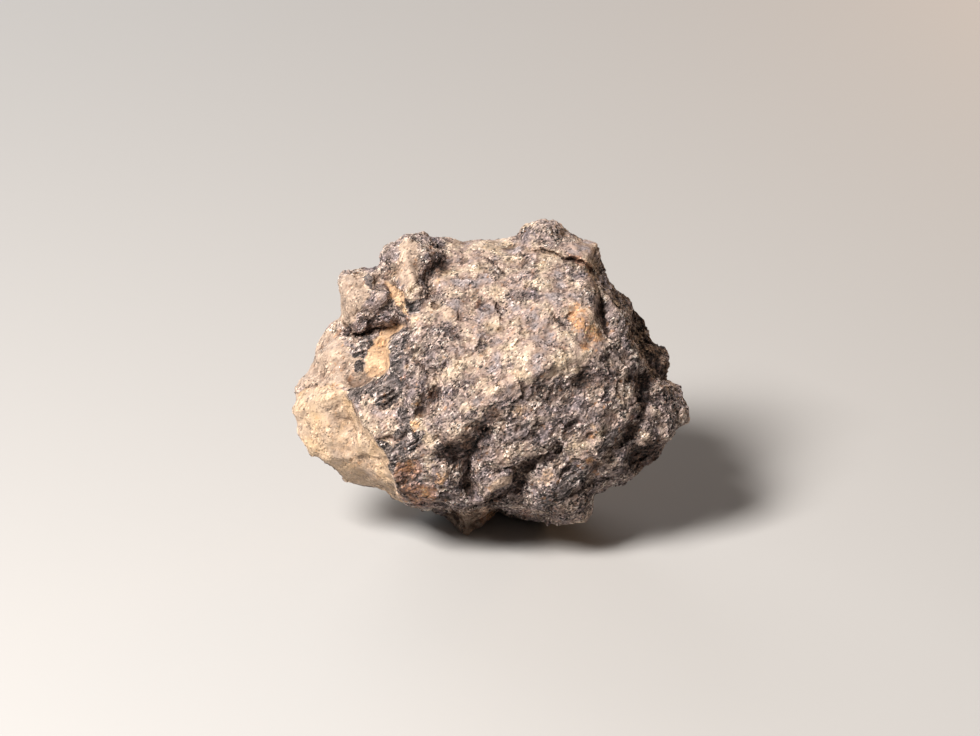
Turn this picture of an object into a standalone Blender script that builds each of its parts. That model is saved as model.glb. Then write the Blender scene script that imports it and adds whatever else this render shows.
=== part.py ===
"""A chondrite meteorite: one broken, weathered stone about 65 mm across that stands on a small flat foot.

The stone is one solid. It is blocked out as a cage of spots on its surface, softened, pulled to its
outline, roughened, stood on its foot and thinned to a few thousand triangles.

While it is shaped, lengths are in millimetres, x runs to the right, z up, and "out" is how far a spot
stands towards someone facing the stone's front. When it stands on its foot the front leans back by LEAN.
"""

import math

import bmesh
import bpy
import numpy as np
from mathutils import Matrix, Vector, noise

MM = 0.001

# How the stone stands
LEAN = math.radians(25)
FOOT_DROP = 24.9
FOOT_SINK = 2.6
FOOT_EVEN = 0.12

# How fine and how worn the surface is
VOXEL = 0.55
CAGE_SPLITS = 3
CAGE_WEAR = 6
SURFACE_WEAR = 2
MOST_TRIANGLES = 9600

# Lumps on the whole surface: widest lump, height and seed
BROAD_LUMPS = (9.0, 0.9, 1)
SMALL_LUMPS = (3.5, 0.45, 2)

# How steps and grooves are cut: half the width of a brink, the fade at a line's ends, and how far, how
# quickly and by which seed a line wanders from its drawn course
BRINK = 0.5
LINE_FADE = 2.5
LINE_WANDER = 0.7
WANDER_SIZE = 3.0
WANDER_SEED = 5

# How the outline is met: how many directions it is measured in, the share of the reach where it begins to
# pull, how the measured edge is blurred and how finely the drawn curve is stepped
DIRECTIONS = 360
PULL_FROM = 0.72
EDGE_BLUR = (1, 2, 3, 4, 3, 2, 1)
CURVE_STEP = 0.5

# The outline of the stone seen from its front, clockwise from its left end: x, z, out.
OUTLINE = (
    (-32.4, -5.0, 0.0),
    (-31.9, -1.2, 0.0),
    (-30.2, 0.6, 0.3),
    (-29.3, 2.2, 0.6),
    (-28.2, 6.0, 1.2),
    (-26.9, 8.1, 1.8),
    (-24.7, 10.3, 3.0),
    (-24.8, 12.6, 3.5),
    (-25.1, 14.6, 3.5),
    (-24.5, 17.0, 3.5),
    (-22.5, 18.0, 3.2),
    (-20.3, 18.1, 3.0),
    (-18.5, 19.1, 3.4),
    (-17.7, 21.2, 4.0),
    (-16.2, 22.3, 4.2),
    (-14.0, 23.5, 4.5),
    (-11.0, 23.9, 4.0),
    (-9.0, 23.2, 2.5),
    (-4.0, 22.5, 0.0),
    (0.5, 22.8, -1.0),
    (4.2, 23.6, -0.8),
    (6.0, 25.1, 0.0),
    (9.5, 26.0, 1.4),
    (11.3, 25.6, 2.0),
    (13.8, 23.5, 3.0),
    (17.2, 22.1, 4.5),
    (18.0, 20.8, 4.0),
    (18.6, 18.0, 1.0),
    (20.0, 15.3, -2.0),
    (22.4, 13.3, -3.4),
    (25.0, 9.8, -4.8),
    (27.2, 6.3, -4.8),
    (29.5, 3.4, -3.6),
    (29.5, 0.3, -2.0),
    (31.2, -1.5, 1.5),
    (32.4, -5.6, 2.0),
    (32.3, -7.4, 1.0),
    (29.9, -9.8, -1.0),
    (28.0, -12.6, -3.2),
    (25.0, -15.5, -4.0),
    (21.8, -17.8, -2.4),
    (18.3, -18.9, -0.2),
    (17.2, -20.0, 1.5),
    (16.8, -22.2, 2.2),
    (15.3, -23.7, 2.6),
    (11.2, -24.3, 3.0),
    (6.5, -23.8, 3.4),
    (1.4, -22.8, 2.0),
    (-1.4, -24.7, -2.8),
    (-4.0, -25.9, -3.4),
    (-6.2, -24.8, -3.6),
    (-8.0, -23.1, -0.2),
    (-10.5, -22.1, 2.4),
    (-14.5, -20.6, 3.8),
    (-17.0, -19.0, 3.4),
    (-21.5, -17.7, 2.0),
    (-24.5, -16.3, 1.0),
    (-28.0, -13.5, 0.5),
    (-30.5, -11.1, 0.2),
    (-31.6, -8.0, 0.0),
)

# Spots on the front, by the feature that they shape: x, z, out.
FRONT = {
    "upper face": (
        (-4.0, 20.6, 6.4), (2.0, 21.2, 6.0), (7.5, 23.4, 6.6), (11.5, 22.8, 8.0), (15.6, 20.4, 9.6),
        (-5.0, 17.0, 10.6), (1.0, 17.0, 11.4), (7.0, 18.0, 11.6), (12.5, 17.4, 12.8), (16.6, 16.8, 12.6),
        (-6.0, 12.6, 13.8), (0.0, 12.0, 14.8), (6.0, 12.0, 15.4), (11.6, 12.0, 16.4), (16.6, 12.0, 15.6),
        (-8.0, 8.0, 15.8), (-3.0, 7.4, 17.2), (3.0, 7.0, 18.2), (9.0, 7.0, 19.0), (14.2, 8.0, 18.6),
        (17.2, 7.6, 17.0), (-3.0, 2.4, 19.0), (3.0, 2.4, 20.6), (8.4, 3.4, 21.0),
    ),
    "brow ridge": (
        (-9.6, -11.4, 17.8), (-6.2, -10.2, 19.2), (-3.6, -8.4, 20.4), (-1.0, -5.2, 21.4),
        (1.8, -2.4, 22.0), (6.2, 0.0, 22.4), (11.0, 2.0, 21.6), (13.8, 4.8, 20.0),
    ),
    "step under the brow": (
        (-6.6, -13.6, 16.2), (-2.4, -12.6, 17.2), (0.0, -9.0, 19.2), (3.2, -5.6, 20.6),
        (8.6, -2.6, 20.6), (13.2, -1.0, 19.8), (15.2, 0.8, 19.0),
    ),
    "middle terrace": (
        (3.4, -10.2, 18.8), (7.2, -7.4, 19.9), (11.2, -5.6, 20.0), (15.6, -5.0, 19.4), (19.4, -3.0, 18.0),
        (21.8, -3.2, 17.2), (18.6, 3.0, 17.6), (21.6, 1.2, 16.4), (18.4, -7.8, 17.4), (20.6, -6.0, 16.8),
        (22.9, -4.6, 15.4), (23.2, -1.0, 15.0),
    ),
    "second ridge": (
        (-3.0, -19.6, 12.6), (0.4, -18.4, 14.6), (3.0, -17.2, 15.8), (3.4, -14.4, 17.2),
        (6.2, -13.0, 17.8), (9.2, -11.2, 18.2), (12.4, -9.4, 18.4),
    ),
    "step under the second ridge": (
        (1.4, -20.6, 10.8), (4.6, -17.8, 13.2), (5.4, -15.2, 14.8), (8.4, -13.2, 16.0), (11.6, -11.4, 16.8),
    ),
    "lower lobe": (
        (8.2, -17.2, 15.4), (12.0, -14.8, 16.0), (15.4, -12.2, 16.6), (8.4, -21.0, 12.4),
        (12.4, -18.8, 14.0), (15.4, -20.6, 10.4), (12.6, -22.6, 9.6), (15.4, -16.2, 14.2),
    ),
    "right valley": (
        (24.5, 1.4, 11.4), (25.0, -2.6, 11.4), (24.7, -6.0, 12.0), (22.2, -9.6, 13.2),
        (18.8, -12.8, 13.6), (16.9, -16.8, 11.4),
    ),
    "small lobe": ((21.8, -11.8, 14.0), (20.2, -14.4, 13.2), (22.2, -15.6, 8.4), (18.8, -17.0, 8.6)),
    "right lobe": (
        (27.4, -1.6, 11.4), (27.6, -5.0, 12.6), (25.9, -8.7, 13.2), (28.4, -8.4, 11.4), (30.9, -4.6, 8.2),
    ),
    "hollow": ((23.8, -12.6, 6.6), (26.2, -11.8, 4.6), (25.0, -14.4, 2.8)),
    "right groove": ((18.3, 13.8, 12.0), (18.7, 9.8, 12.8), (19.2, 6.6, 14.4)),
    "right shelf": (
        (20.0, 13.0, 11.2), (20.9, 9.8, 12.4), (21.8, 6.2, 13.4), (22.9, 3.4, 13.6),
        (20.5, 14.0, 5.6), (21.8, 11.0, 7.4), (22.9, 8.0, 9.0), (24.2, 4.4, 9.6),
    ),
    "right flank": ((22.8, 11.8, 1.0), (24.8, 7.8, 2.0), (26.7, 4.4, 2.6), (27.2, 1.4, 5.4)),
    "left boss": (
        (-12.0, 8.0, 15.0), (-12.6, 4.0, 16.6), (-11.6, 0.4, 18.0), (-12.2, -4.0, 18.2),
        (-6.6, -1.6, 19.2), (-8.0, -7.0, 19.4), (-12.6, -8.0, 17.8), (-13.0, -12.0, 16.8), (-7.4, 3.4, 18.0),
    ),
    "notch": ((-9.4, 0.2, 16.6), (-9.2, -3.2, 16.2)),
    "crust edge": (
        (-15.4, 7.4, 13.8), (-16.0, 4.6, 14.4), (-16.2, 2.0, 15.0), (-18.0, 0.1, 14.6), (-21.0, -1.3, 13.6),
        (-23.1, -2.4, 12.6), (-22.2, -4.9, 13.2), (-20.6, -7.6, 14.0), (-18.8, -10.4, 14.4),
        (-17.0, -13.0, 14.4), (-16.4, -15.6, 13.8), (-15.5, -17.6, 12.4),
    ),
    "crust": ((-19.0, -3.6, 15.4), (-16.4, -6.8, 16.4), (-15.4, -11.0, 15.8), (-14.6, -1.6, 16.8)),
    "tan face": (
        (-26.0, -3.4, 9.4), (-29.6, -5.0, 6.0), (-25.0, -8.0, 9.4), (-28.6, -10.0, 6.4),
        (-22.6, -12.0, 9.8), (-25.2, -13.0, 7.2), (-19.4, -14.4, 10.8), (-20.6, -16.4, 6.8),
    ),
    "left face": (
        (-24.4, 1.4, 9.2), (-27.6, 1.0, 5.8), (-25.4, 4.6, 7.6), (-22.0, 4.8, 9.4), (-20.0, 2.4, 11.0),
    ),
    "recess": ((-18.0, 5.0, 10.6), (-17.4, 7.0, 9.6)),
    "undercut": (
        (-23.6, 6.4, 6.6), (-21.6, 7.3, 7.0), (-19.4, 7.8, 7.6), (-16.8, 8.2, 8.6), (-14.2, 9.0, 11.4),
    ),
    "left knob's dark side": (
        (-22.4, 8.4, 8.8), (-19.8, 10.0, 10.4), (-17.2, 10.6, 11.2), (-15.2, 10.6, 11.6),
        (-22.6, 9.8, 9.8), (-20.8, 11.8, 11.8), (-19.4, 13.4, 12.6), (-17.4, 14.2, 12.4), (-16.2, 13.0, 12.8),
    ),
    "left knob": (
        (-24.2, 10.6, 8.0), (-22.6, 12.6, 10.2), (-23.6, 15.0, 8.4), (-21.4, 14.2, 10.4), (-21.8, 16.6, 8.2),
        (-20.0, 16.4, 9.6), (-19.6, 15.0, 10.8),
    ),
    "ochre recess": ((-17.2, 15.6, 9.6), (-15.4, 13.6, 10.6), (-14.4, 11.6, 11.0)),
    "upper knob": (
        (-16.6, 20.0, 8.2), (-15.6, 17.6, 10.2), (-13.6, 20.6, 11.0), (-13.0, 17.6, 13.2),
        (-12.2, 15.4, 14.0),
        (-14.8, 15.8, 12.4), (-12.8, 22.6, 8.2), (-10.6, 21.2, 9.8), (-9.6, 19.0, 11.0), (-12.6, 13.6, 12.8),
        (-11.6, 12.0, 13.2),
    ),
    "upper groove": ((-10.3, 16.0, 10.8), (-10.4, 13.6, 12.0), (-8.2, 17.8, 9.4), (-6.8, 19.4, 7.8)),
    "lower face": (
        (-12.4, -15.8, 14.0), (-11.6, -18.4, 11.8), (-9.2, -15.0, 15.6), (-7.6, -16.6, 14.6),
        (-8.0, -19.4, 11.4), (-3.4, -16.6, 13.0), (-5.6, -17.0, 14.0), (-1.0, -15.6, 15.6),
        (-5.4, -20.6, 9.4),
        (-10.6, -20.7, 7.4), (-3.4, -21.2, 7.4), (2.2, -21.6, 8.4), (6.0, -22.2, 9.6),
    ),
    "toe": ((-4.0, -24.2, -0.6), (-1.6, -23.2, 0.4), (0.4, -22.2, 1.6)),
}

# Spots on the back, which lean towards negative "out".
BACK = {
    "back ridge": (
        (-14.0, 6.0, -19.0), (-7.0, 7.5, -22.6), (0.0, 6.0, -24.2), (8.0, 8.0, -22.4), (14.0, 4.0, -21.0),
        (20.0, 3.0, -16.0),
    ),
    "upper back": (
        (-20.0, 10.5, -12.6), (-12.0, 14.0, -15.6), (-4.0, 14.6, -18.6), (5.0, 16.0, -17.0),
        (12.0, 14.0, -15.6), (18.0, 10.4, -12.4), (-15.0, 18.6, -7.6), (-8.0, 20.4, -9.4),
        (0.0, 20.4, -9.4), (7.0, 22.2, -8.2), (13.0, 19.6, -7.4), (-24.0, 10.4, -5.4),
    ),
    "lower back": (
        (0.0, -4.0, -22.6), (-8.0, -4.5, -20.4), (8.5, -4.0, -21.4), (0.5, -12.0, -22.0),
        (8.6, -12.0, -20.0), (-9.0, -12.0, -19.0), (-16.5, -7.0, -16.0), (15.8, -8.0, -17.0),
    ),
    "back sides": (
        (-20.6, 1.0, -15.4), (22.0, -4.0, -14.0), (-25.0, -4.4, -10.2), (25.8, 0.4, -10.4),
        (-28.6, 0.0, -6.0), (-28.4, -8.4, -5.6), (-22.8, -12.0, -8.6), (-16.0, -16.0, -9.4),
        (14.6, -16.6, -10.8), (20.6, -12.8, -9.0), (26.8, -8.2, -7.4), (29.6, -4.4, -3.6), (25.6, 5.2, -9.0),
    ),
}

# Steps in the front: the line of the brink (x, z), how far the ground drops on the line's right-hand side as
# it is walked from its first point, and how far from the brink the ground has risen halfway back.
STEPS = {
    "crust over the left face": (
        ((-13.6, 9.0), (-16.2, 6.6), (-16.8, 5.2), (-16.6, 1.6), (-18.0, 0.0), (-20.6, -1.3), (-24.0, -2.6)),
        2.2, 2.2,
    ),
    "crust over the broken face": (
        ((-23.6, -1.6), (-22.6, -5.0), (-21.0, -7.6), (-19.0, -10.2), (-17.2, -12.8), (-16.4, -16.2),
         (-15.0, -19.6)),
        1.7, 2.6,
    ),
    "left knob": (((-25.6, 7.4), (-22.4, 7.9), (-20.0, 8.5), (-17.0, 9.1), (-13.0, 10.0)), 1.8, 1.2),
    "upper knob": (((-16.6, 16.4), (-14.4, 14.7), (-11.6, 14.3), (-10.9, 16.4)), 0.9, 1.6),
    "brow": (
        ((-4.4, -9.8), (-2.4, -8.2), (-0.2, -4.0), (2.0, -2.6), (4.6, -1.4), (8.0, 0.0), (12.0, 1.6)),
        0.9, 1.8,
    ),
    "second ridge": (
        ((-0.8, -20.4), (1.6, -18.2), (3.0, -16.6), (3.3, -14.4), (5.2, -13.2), (9.2, -11.8), (11.2, -8.8)),
        1.9, 2.2,
    ),
    "rim over the toe": (
        ((-10.6, -23.6), (-6.2, -21.8), (-4.0, -21.6), (-2.0, -20.8), (0.6, -19.2)), 3.2, 2.4,
    ),
    "right shelf": (((26.2, 0.4), (24.4, 3.2), (22.7, 7.4), (21.9, 10.4), (19.6, 14.4)), 2.4, 2.2),
}

# Grooves in the front: the line (x, z), depth and half-width.
GROOVES = {
    "beside the upper knob": (
        ((-6.2, 19.0), (-9.0, 17.6), (-10.2, 15.8), (-10.7, 13.6), (-11.2, 10.8)), 1.3, 0.9,
    ),
    "notch": (((-8.6, 1.2), (-9.4, -2.2), (-9.9, -4.4), (-12.8, -5.5)), 1.6, 1.0),
    "right groove": (((16.2, 16.4), (17.8, 13.8), (18.1, 11.0), (18.6, 8.0), (19.8, 5.4)), 1.3, 0.8),
    "right valley": (
        ((24.5, 2.6), (24.8, -2.2), (24.2, -6.0), (22.4, -8.8), (20.4, -10.6), (18.6, -12.4), (16.8, -14.2),
         (17.2, -18.0)),
        1.4, 1.1,
    ),
    "ledge under the hump": (
        ((5.0, 21.4), (8.2, 20.9), (10.2, 20.5), (12.2, 19.4), (15.4, 18.4), (18.6, 16.2)), 0.8, 0.6,
    ),
    "lower gully": (
        ((-3.2, -10.6), (-3.4, -12.4), (-3.8, -15.0), (-3.6, -17.6), (-2.0, -21.0)), 1.3, 1.0,
    ),
    "gully under the brow": (((-9.6, -10.8), (-6.6, -12.4), (-3.4, -12.6), (-0.6, -11.2)), 1.2, 1.2),
    "toe of the lower lobe": (((11.2, -19.4), (9.6, -21.6), (8.0, -24.0)), 0.9, 0.8),
    "left knob's ear": (
        ((-18.4, 18.4), (-18.6, 16.0), (-19.6, 13.6), (-21.2, 15.0), (-20.8, 17.4)), 0.6, 0.5,
    ),
}

# Broad breaks on the back and sides, as flat cuts: which way each faces (x, out, z) and how far it is from
# the middle of the stone.
BREAKS = (
    ((0.40, -0.82, 0.42), 19.6),
    ((-0.46, -0.76, 0.46), 17.6),
    ((0.06, -0.97, -0.22), 22.4),
    ((0.80, -0.58, -0.14), 21.6),
    ((-0.84, -0.50, -0.20), 21.8),
    ((0.36, -0.72, -0.59), 24.6),
    ((-0.44, -0.70, -0.56), 23.0),
    ((-0.10, -0.36, 0.93), 20.4),
)
BREAK_GIVE = 0.85

# Shallow hollows on the back: x, z, half-width, depth.
HOLLOWS = (
    (-9.0, 9.0, 4.2, 1.7),
    (3.0, 13.5, 4.6, 1.9),
    (11.5, 2.0, 5.0, 1.6),
    (-2.0, -3.0, 5.4, 1.8),
    (-17.0, -3.0, 4.4, 1.6),
    (18.0, -7.5, 4.0, 1.5),
    (6.0, -12.5, 3.6, 1.3),
    (-11.5, -11.5, 3.4, 1.2),
    (17.0, 11.5, 3.2, 1.2),
    (-20.0, 7.0, 3.0, 1.1),
)

# The foot is level ground under the stone: x, out. Its z follows from LEAN and FOOT_DROP.
FOOT = (
    (-4.4, -4.4), (-8.6, -8.8), (-10.2, -13.4), (-8.0, -17.6), (-2.6, -20.0), (4.4, -19.4),
    (9.4, -15.6), (9.6, -11.2), (5.2, -8.4), (0.6, -8.4), (-2.0, -13.0), (3.0, -14.0),
)


def foot_spots():
    """The foot's spots, a little below the height where ground level cuts the leaning stone."""
    drop = FOOT_DROP + FOOT_SINK
    return [(x, (-drop - out * math.sin(LEAN)) / math.cos(LEAN), out) for x, out in FOOT]


def all_spots():
    spots = list(OUTLINE) + foot_spots()
    for group in (*FRONT.values(), *BACK.values()):
        spots.extend(group)
    return [Vector((x, -out, z)) for x, z, out in spots]


def cage():
    """A mesh with a corner at each spot, joined up as the hull of the spots' directions."""
    bm = bmesh.new()
    corners = [(bm.verts.new(spot.normalized()), spot) for spot in all_spots()]
    bmesh.ops.convex_hull(bm, input=bm.verts)
    for corner, spot in corners:
        corner.co = spot
    bmesh.ops.recalc_face_normals(bm, faces=bm.faces)
    mesh = bpy.data.meshes.new("cage")
    bm.to_mesh(mesh)
    bm.free()
    return mesh


def evaluated(mesh, *modifiers):
    """The mesh after these modifiers, each given as its type and its settings."""
    holder = bpy.data.objects.new("holder", mesh)
    bpy.context.scene.collection.objects.link(holder)
    for kind, settings in modifiers:
        modifier = holder.modifiers.new(kind.title(), kind)
        for name, value in settings.items():
            setattr(modifier, name, value)
    bpy.context.view_layer.update()
    graph = bpy.context.evaluated_depsgraph_get()
    result = bpy.data.meshes.new_from_object(holder.evaluated_get(graph))
    bpy.data.objects.remove(holder)
    return result


def softened(mesh):
    """The cage with its edges worn round, as even small faces."""
    return evaluated(
        mesh,
        ("SUBSURF", {"subdivision_type": "SIMPLE", "levels": CAGE_SPLITS, "render_levels": CAGE_SPLITS}),
        ("SMOOTH", {"factor": 0.5, "iterations": CAGE_WEAR}),
        ("REMESH", {"mode": "VOXEL", "voxel_size": VOXEL}),
        ("SMOOTH", {"factor": 0.5, "iterations": SURFACE_WEAR}),
    )


def points_of(mesh):
    flat = np.empty(len(mesh.vertices) * 3, np.float32)
    mesh.vertices.foreach_get("co", flat)
    return flat.reshape(-1, 3).astype(float)


def normals_of(mesh):
    flat = np.empty(len(mesh.vertices) * 3, np.float32)
    mesh.vertex_normals.foreach_get("vector", flat)
    return flat.reshape(-1, 3).astype(float)


def move_points(mesh, points):
    mesh.vertices.foreach_set("co", points.astype(np.float32).ravel())
    mesh.update()


def eased(value, start, end):
    share = np.clip((value - start) / (end - start), 0.0, 1.0)
    return share * share * (3.0 - 2.0 * share)


def outline_curve():
    """The outline as a closed smooth curve that passes through each of its points."""
    curve = []
    count = len(OUTLINE)
    for i in range(count):
        before, start, end, after = (Vector(OUTLINE[(i + k) % count]) for k in (-1, 0, 1, 2))
        steps = max(2, round((end - start).length / CURVE_STEP))
        for step in range(steps):
            t = step / steps
            slope = end - before
            bend = 2 * before - 5 * start + 4 * end - after
            twist = 3 * start - before - 3 * end + after
            curve.append(start + (slope * t + bend * t ** 2 + twist * t ** 3) / 2)
    return curve


def fit_outline(mesh):
    """Pulls the stone's edge, seen from the front, onto the outline, easing to nothing inside it."""
    points = points_of(mesh)
    turn = np.arctan2(points[:, 2], points[:, 0])
    reach = np.hypot(points[:, 0], points[:, 2])
    sector = ((turn / math.tau + 0.5) * DIRECTIONS).astype(int) % DIRECTIONS
    edge = np.zeros(DIRECTIONS)
    np.maximum.at(edge, sector, reach)
    half = len(EDGE_BLUR) // 2
    edge = sum(np.roll(edge, i - half) * share for i, share in enumerate(EDGE_BLUR)) / sum(EDGE_BLUR)
    middles = ((np.arange(DIRECTIONS) + 0.5) / DIRECTIONS - 0.5) * math.tau
    edge_now = np.interp(turn, middles, edge, period=math.tau)
    wanted = sorted((math.atan2(z, x), math.hypot(x, z)) for x, z, out in outline_curve())
    edge_wanted = np.interp(turn, *zip(*wanted), period=math.tau)
    pull = eased(reach / edge_now, PULL_FROM, 1.0)
    points[:, (0, 2)] *= (1.0 + pull * (edge_wanted / edge_now - 1.0))[:, None]
    move_points(mesh, points)


def nearest_on_line(points, line):
    """How each point lies to a line drawn on the front: its distance, 1 on the line's right-hand side and -1
    on its left, and a strength that fades to 0 at the line's ends."""
    flat = points[:, (0, 2)]
    line = np.array(line)
    lengths = np.linalg.norm(line[1:] - line[:-1], axis=1)
    walked = np.concatenate([[0.0], np.cumsum(lengths)])
    gap, side, along = (np.full(len(flat), value) for value in (math.inf, 1.0, 0.0))
    for start, end, length, before in zip(line[:-1], line[1:], lengths, walked):
        run = (end - start) / length
        away = flat - start
        share = np.clip(away @ run, 0.0, length)
        distance = np.linalg.norm(away - share[:, None] * run, axis=1)
        nearer = distance < gap
        gap = np.where(nearer, distance, gap)
        side = np.where(nearer, np.sign(away[:, 0] * run[1] - away[:, 1] * run[0]), side)
        along = np.where(nearer, before + share, along)
    strength = eased(along, 0.0, LINE_FADE) * eased(walked[-1] - along, 0.0, LINE_FADE)
    return gap, side, strength


def carve_front(mesh):
    """Cuts the steps and grooves into the front, straight back from someone who faces it."""
    points, normals = points_of(mesh), normals_of(mesh)
    faces_front = eased(-normals[:, 1], -0.25, 0.15) * eased(-points[:, 1], -6.0, -2.0)
    wander = np.array([noise.noise_vector(Vector(p) / WANDER_SIZE) for p in points]) * LINE_WANDER
    strayed = points + wander
    sink = np.zeros(len(points))
    for line, drop, reach in STEPS.values():
        gap, side, strength = nearest_on_line(strayed, line)
        sink += drop * strength * eased(gap * side, -BRINK, BRINK) * 0.5 ** (gap / reach)
    for line, depth, half_width in GROOVES.values():
        gap, side, strength = nearest_on_line(strayed, line)
        sink += depth * strength * np.exp(-((gap / half_width) ** 2))
    points[:, 1] += sink * faces_front
    move_points(mesh, points)


def shape_back(mesh):
    """Breaks the back into broad faces and hollows them."""
    points = points_of(mesh)
    for (x, out, z), reach in BREAKS:
        facing = Vector((x, -out, z)).normalized()
        beyond = np.maximum(points @ facing - reach, 0.0)
        points -= np.outer(beyond * BREAK_GIVE, facing)
    behind = eased(points[:, 1], 1.0, 5.0)
    for x, z, half_width, depth in HOLLOWS:
        gap = np.hypot(points[:, 0] - x, points[:, 2] - z)
        points[:, 1] -= depth * behind * np.exp(-((gap / half_width) ** 2))
    move_points(mesh, points)


def roughen(mesh, size, height, seed):
    """Raises and sinks the surface in uneven lumps, the widest about as wide as size."""
    points, normals = points_of(mesh), normals_of(mesh)
    shift = Vector((seed * 17.3, seed * 5.1, seed * 11.7))
    lumps = np.array([noise.fractal(Vector(p) / size + shift, 0.9, 2.1, 3) for p in points])
    move_points(mesh, points + normals * (lumps * height)[:, None])


def stand_on_foot(mesh):
    """Leans the stone back and presses it level where it reaches the ground."""
    mesh.transform(Matrix.Rotation(-LEAN, 4, "X"))
    points = points_of(mesh)
    points[:, 2] = np.maximum(points[:, 2] + FOOT_DROP, 0.0)
    move_points(mesh, points)


def place(mesh):
    """Makes the foot even and puts the origin on the ground under the middle of the stone, in metres."""
    points = points_of(mesh)
    points[points[:, 2] < FOOT_EVEN, 2] = 0.0
    low, high = points.min(0), points.max(0)
    points[:, :2] -= (low + high)[:2] / 2
    move_points(mesh, points * MM)


def stone_material():
    material = bpy.data.materials.new("weathered_chondrite")
    material.use_nodes = True
    shader = material.node_tree.nodes["Principled BSDF"]
    shader.inputs["Base Color"].default_value = (0.33, 0.27, 0.22, 1.0)
    shader.inputs["Roughness"].default_value = 0.85
    shader.inputs["Metallic"].default_value = 0.0
    return material


def main():
    for old in list(bpy.data.objects):
        bpy.data.objects.remove(old)
    noise.seed_set(WANDER_SEED)
    mesh = softened(cage())
    shape_back(mesh)
    roughen(mesh, *BROAD_LUMPS)
    fit_outline(mesh)
    carve_front(mesh)
    roughen(mesh, *SMALL_LUMPS)
    stand_on_foot(mesh)
    mesh.calc_loop_triangles()
    mesh = evaluated(mesh, ("DECIMATE", {"ratio": MOST_TRIANGLES / len(mesh.loop_triangles)}))
    place(mesh)
    mesh.materials.append(stone_material())
    mesh.shade_smooth()
    stone = bpy.data.objects.new("meteorite", mesh)
    bpy.context.scene.collection.objects.link(stone)
    return stone


if __name__ == "__main__":
    main()
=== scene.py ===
# %% [markdown]
# # A chondrite meteorite
# A chondrite is a stone that fell from space. It is made of small round beads and crystal grains, packed
# together, with a dark weathered skin outside and a paler, tan inside where it broke. This lesson starts
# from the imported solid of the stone, which has its size and its main shape, and gives it its real surface:
# finer relief first, because light has to catch on true edges, then colour and grain.

# %% Load the solid
import math

import bmesh
import bpy
import numpy as np
from mathutils import Matrix, Vector, noise


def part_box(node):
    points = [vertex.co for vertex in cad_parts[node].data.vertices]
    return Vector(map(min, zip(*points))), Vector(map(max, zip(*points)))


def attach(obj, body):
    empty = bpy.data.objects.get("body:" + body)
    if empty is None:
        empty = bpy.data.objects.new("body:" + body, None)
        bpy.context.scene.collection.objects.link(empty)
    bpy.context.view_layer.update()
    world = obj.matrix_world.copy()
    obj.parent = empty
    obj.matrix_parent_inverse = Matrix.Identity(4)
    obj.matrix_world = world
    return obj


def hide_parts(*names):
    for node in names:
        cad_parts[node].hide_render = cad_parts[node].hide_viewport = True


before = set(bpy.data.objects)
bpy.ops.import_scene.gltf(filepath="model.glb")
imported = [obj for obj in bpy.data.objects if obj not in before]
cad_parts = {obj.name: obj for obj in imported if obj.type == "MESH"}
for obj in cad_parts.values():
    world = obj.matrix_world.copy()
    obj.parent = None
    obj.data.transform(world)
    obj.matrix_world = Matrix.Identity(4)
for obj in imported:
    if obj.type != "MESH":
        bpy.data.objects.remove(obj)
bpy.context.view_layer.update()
low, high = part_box("meteorite")
print("solid, mm:", [round(size * 1000, 1) for size in high - low])

# %% [markdown]
# ## Where things are on the front
# The features of the front are named by where someone sees them who faces the stone from 25 degrees above
# the ground: u millimetres to the right of its middle and v millimetres up. A third number, w, is how far a
# point stands towards that person. One turn of the axes gives all three, so a crack is one short list of (u,
# v).

# %% Axes of the front
VIEW_UP = math.radians(25)
RIGHT = np.array((1.0, 0.0, 0.0))
UP = np.array((0.0, math.sin(VIEW_UP), math.cos(VIEW_UP)))
OUT = np.array((0.0, -math.cos(VIEW_UP), math.sin(VIEW_UP)))
AXES = np.array((RIGHT, UP, OUT)).T
# mm: w of the point that stands out furthest, and how far left of the solid's middle u is 0
FRONT_MOST = 22.4
OFF_MIDDLE = 0.1

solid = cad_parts["meteorite"]
seen = np.array([vertex.co for vertex in solid.data.vertices]) * 1000 @ AXES
MIDDLE = (seen.min(0) + seen.max(0)) / 2
MIDDLE[0] -= OFF_MIDDLE
MIDDLE[2] = seen[:, 2].max() - FRONT_MOST
print("middle of the front, mm:", MIDDLE.round(2))


def front_of(points):
    """u, v and w of points given in metres."""
    return (points * 1000 @ AXES - MIDDLE).T


# %% [markdown]
# ## A mesh fine enough to carve
# The solid's triangles are over a millimetre wide, and its edges would show as facets. A voxel remesh of a
# merged copy gives even faces of about a third of a millimetre, two pixels of the picture, and a little
# smoothing takes the facets away. The solid itself stays as it is.

# %% Remesh a copy
# metres: points closer than this are one, and the size of a voxel
SAME = 1e-6
GRID = 0.00036
SMOOTHING = {"factor": 0.5, "iterations": 7}


def placed(name, data):
    """A new object in the scene."""
    made = bpy.data.objects.new(name, data)
    bpy.context.scene.collection.objects.link(made)
    return made


def mesh_after(mesh, *modifiers):
    """The mesh with these modifiers applied, each given as its type and its settings."""
    holder = placed("holder", mesh)
    for kind, settings in modifiers:
        modifier = holder.modifiers.new(kind.title(), kind)
        for name, value in settings.items():
            setattr(modifier, name, value)
    bpy.context.view_layer.update()
    result = bpy.data.meshes.new_from_object(holder.evaluated_get(bpy.context.evaluated_depsgraph_get()))
    bpy.data.objects.remove(holder)
    return result


merged = bmesh.new()
merged.from_mesh(solid.data)
bmesh.ops.remove_doubles(merged, verts=merged.verts, dist=SAME)
block = bpy.data.meshes.new("block")
merged.to_mesh(block)
merged.free()
stone_mesh = mesh_after(block, ("REMESH", {"mode": "VOXEL", "voxel_size": GRID}), ("SMOOTH", SMOOTHING))
stone_mesh.name = "stone"
print("faces:", len(stone_mesh.polygons), "- as triangles:", 2 * len(stone_mesh.polygons))

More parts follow.
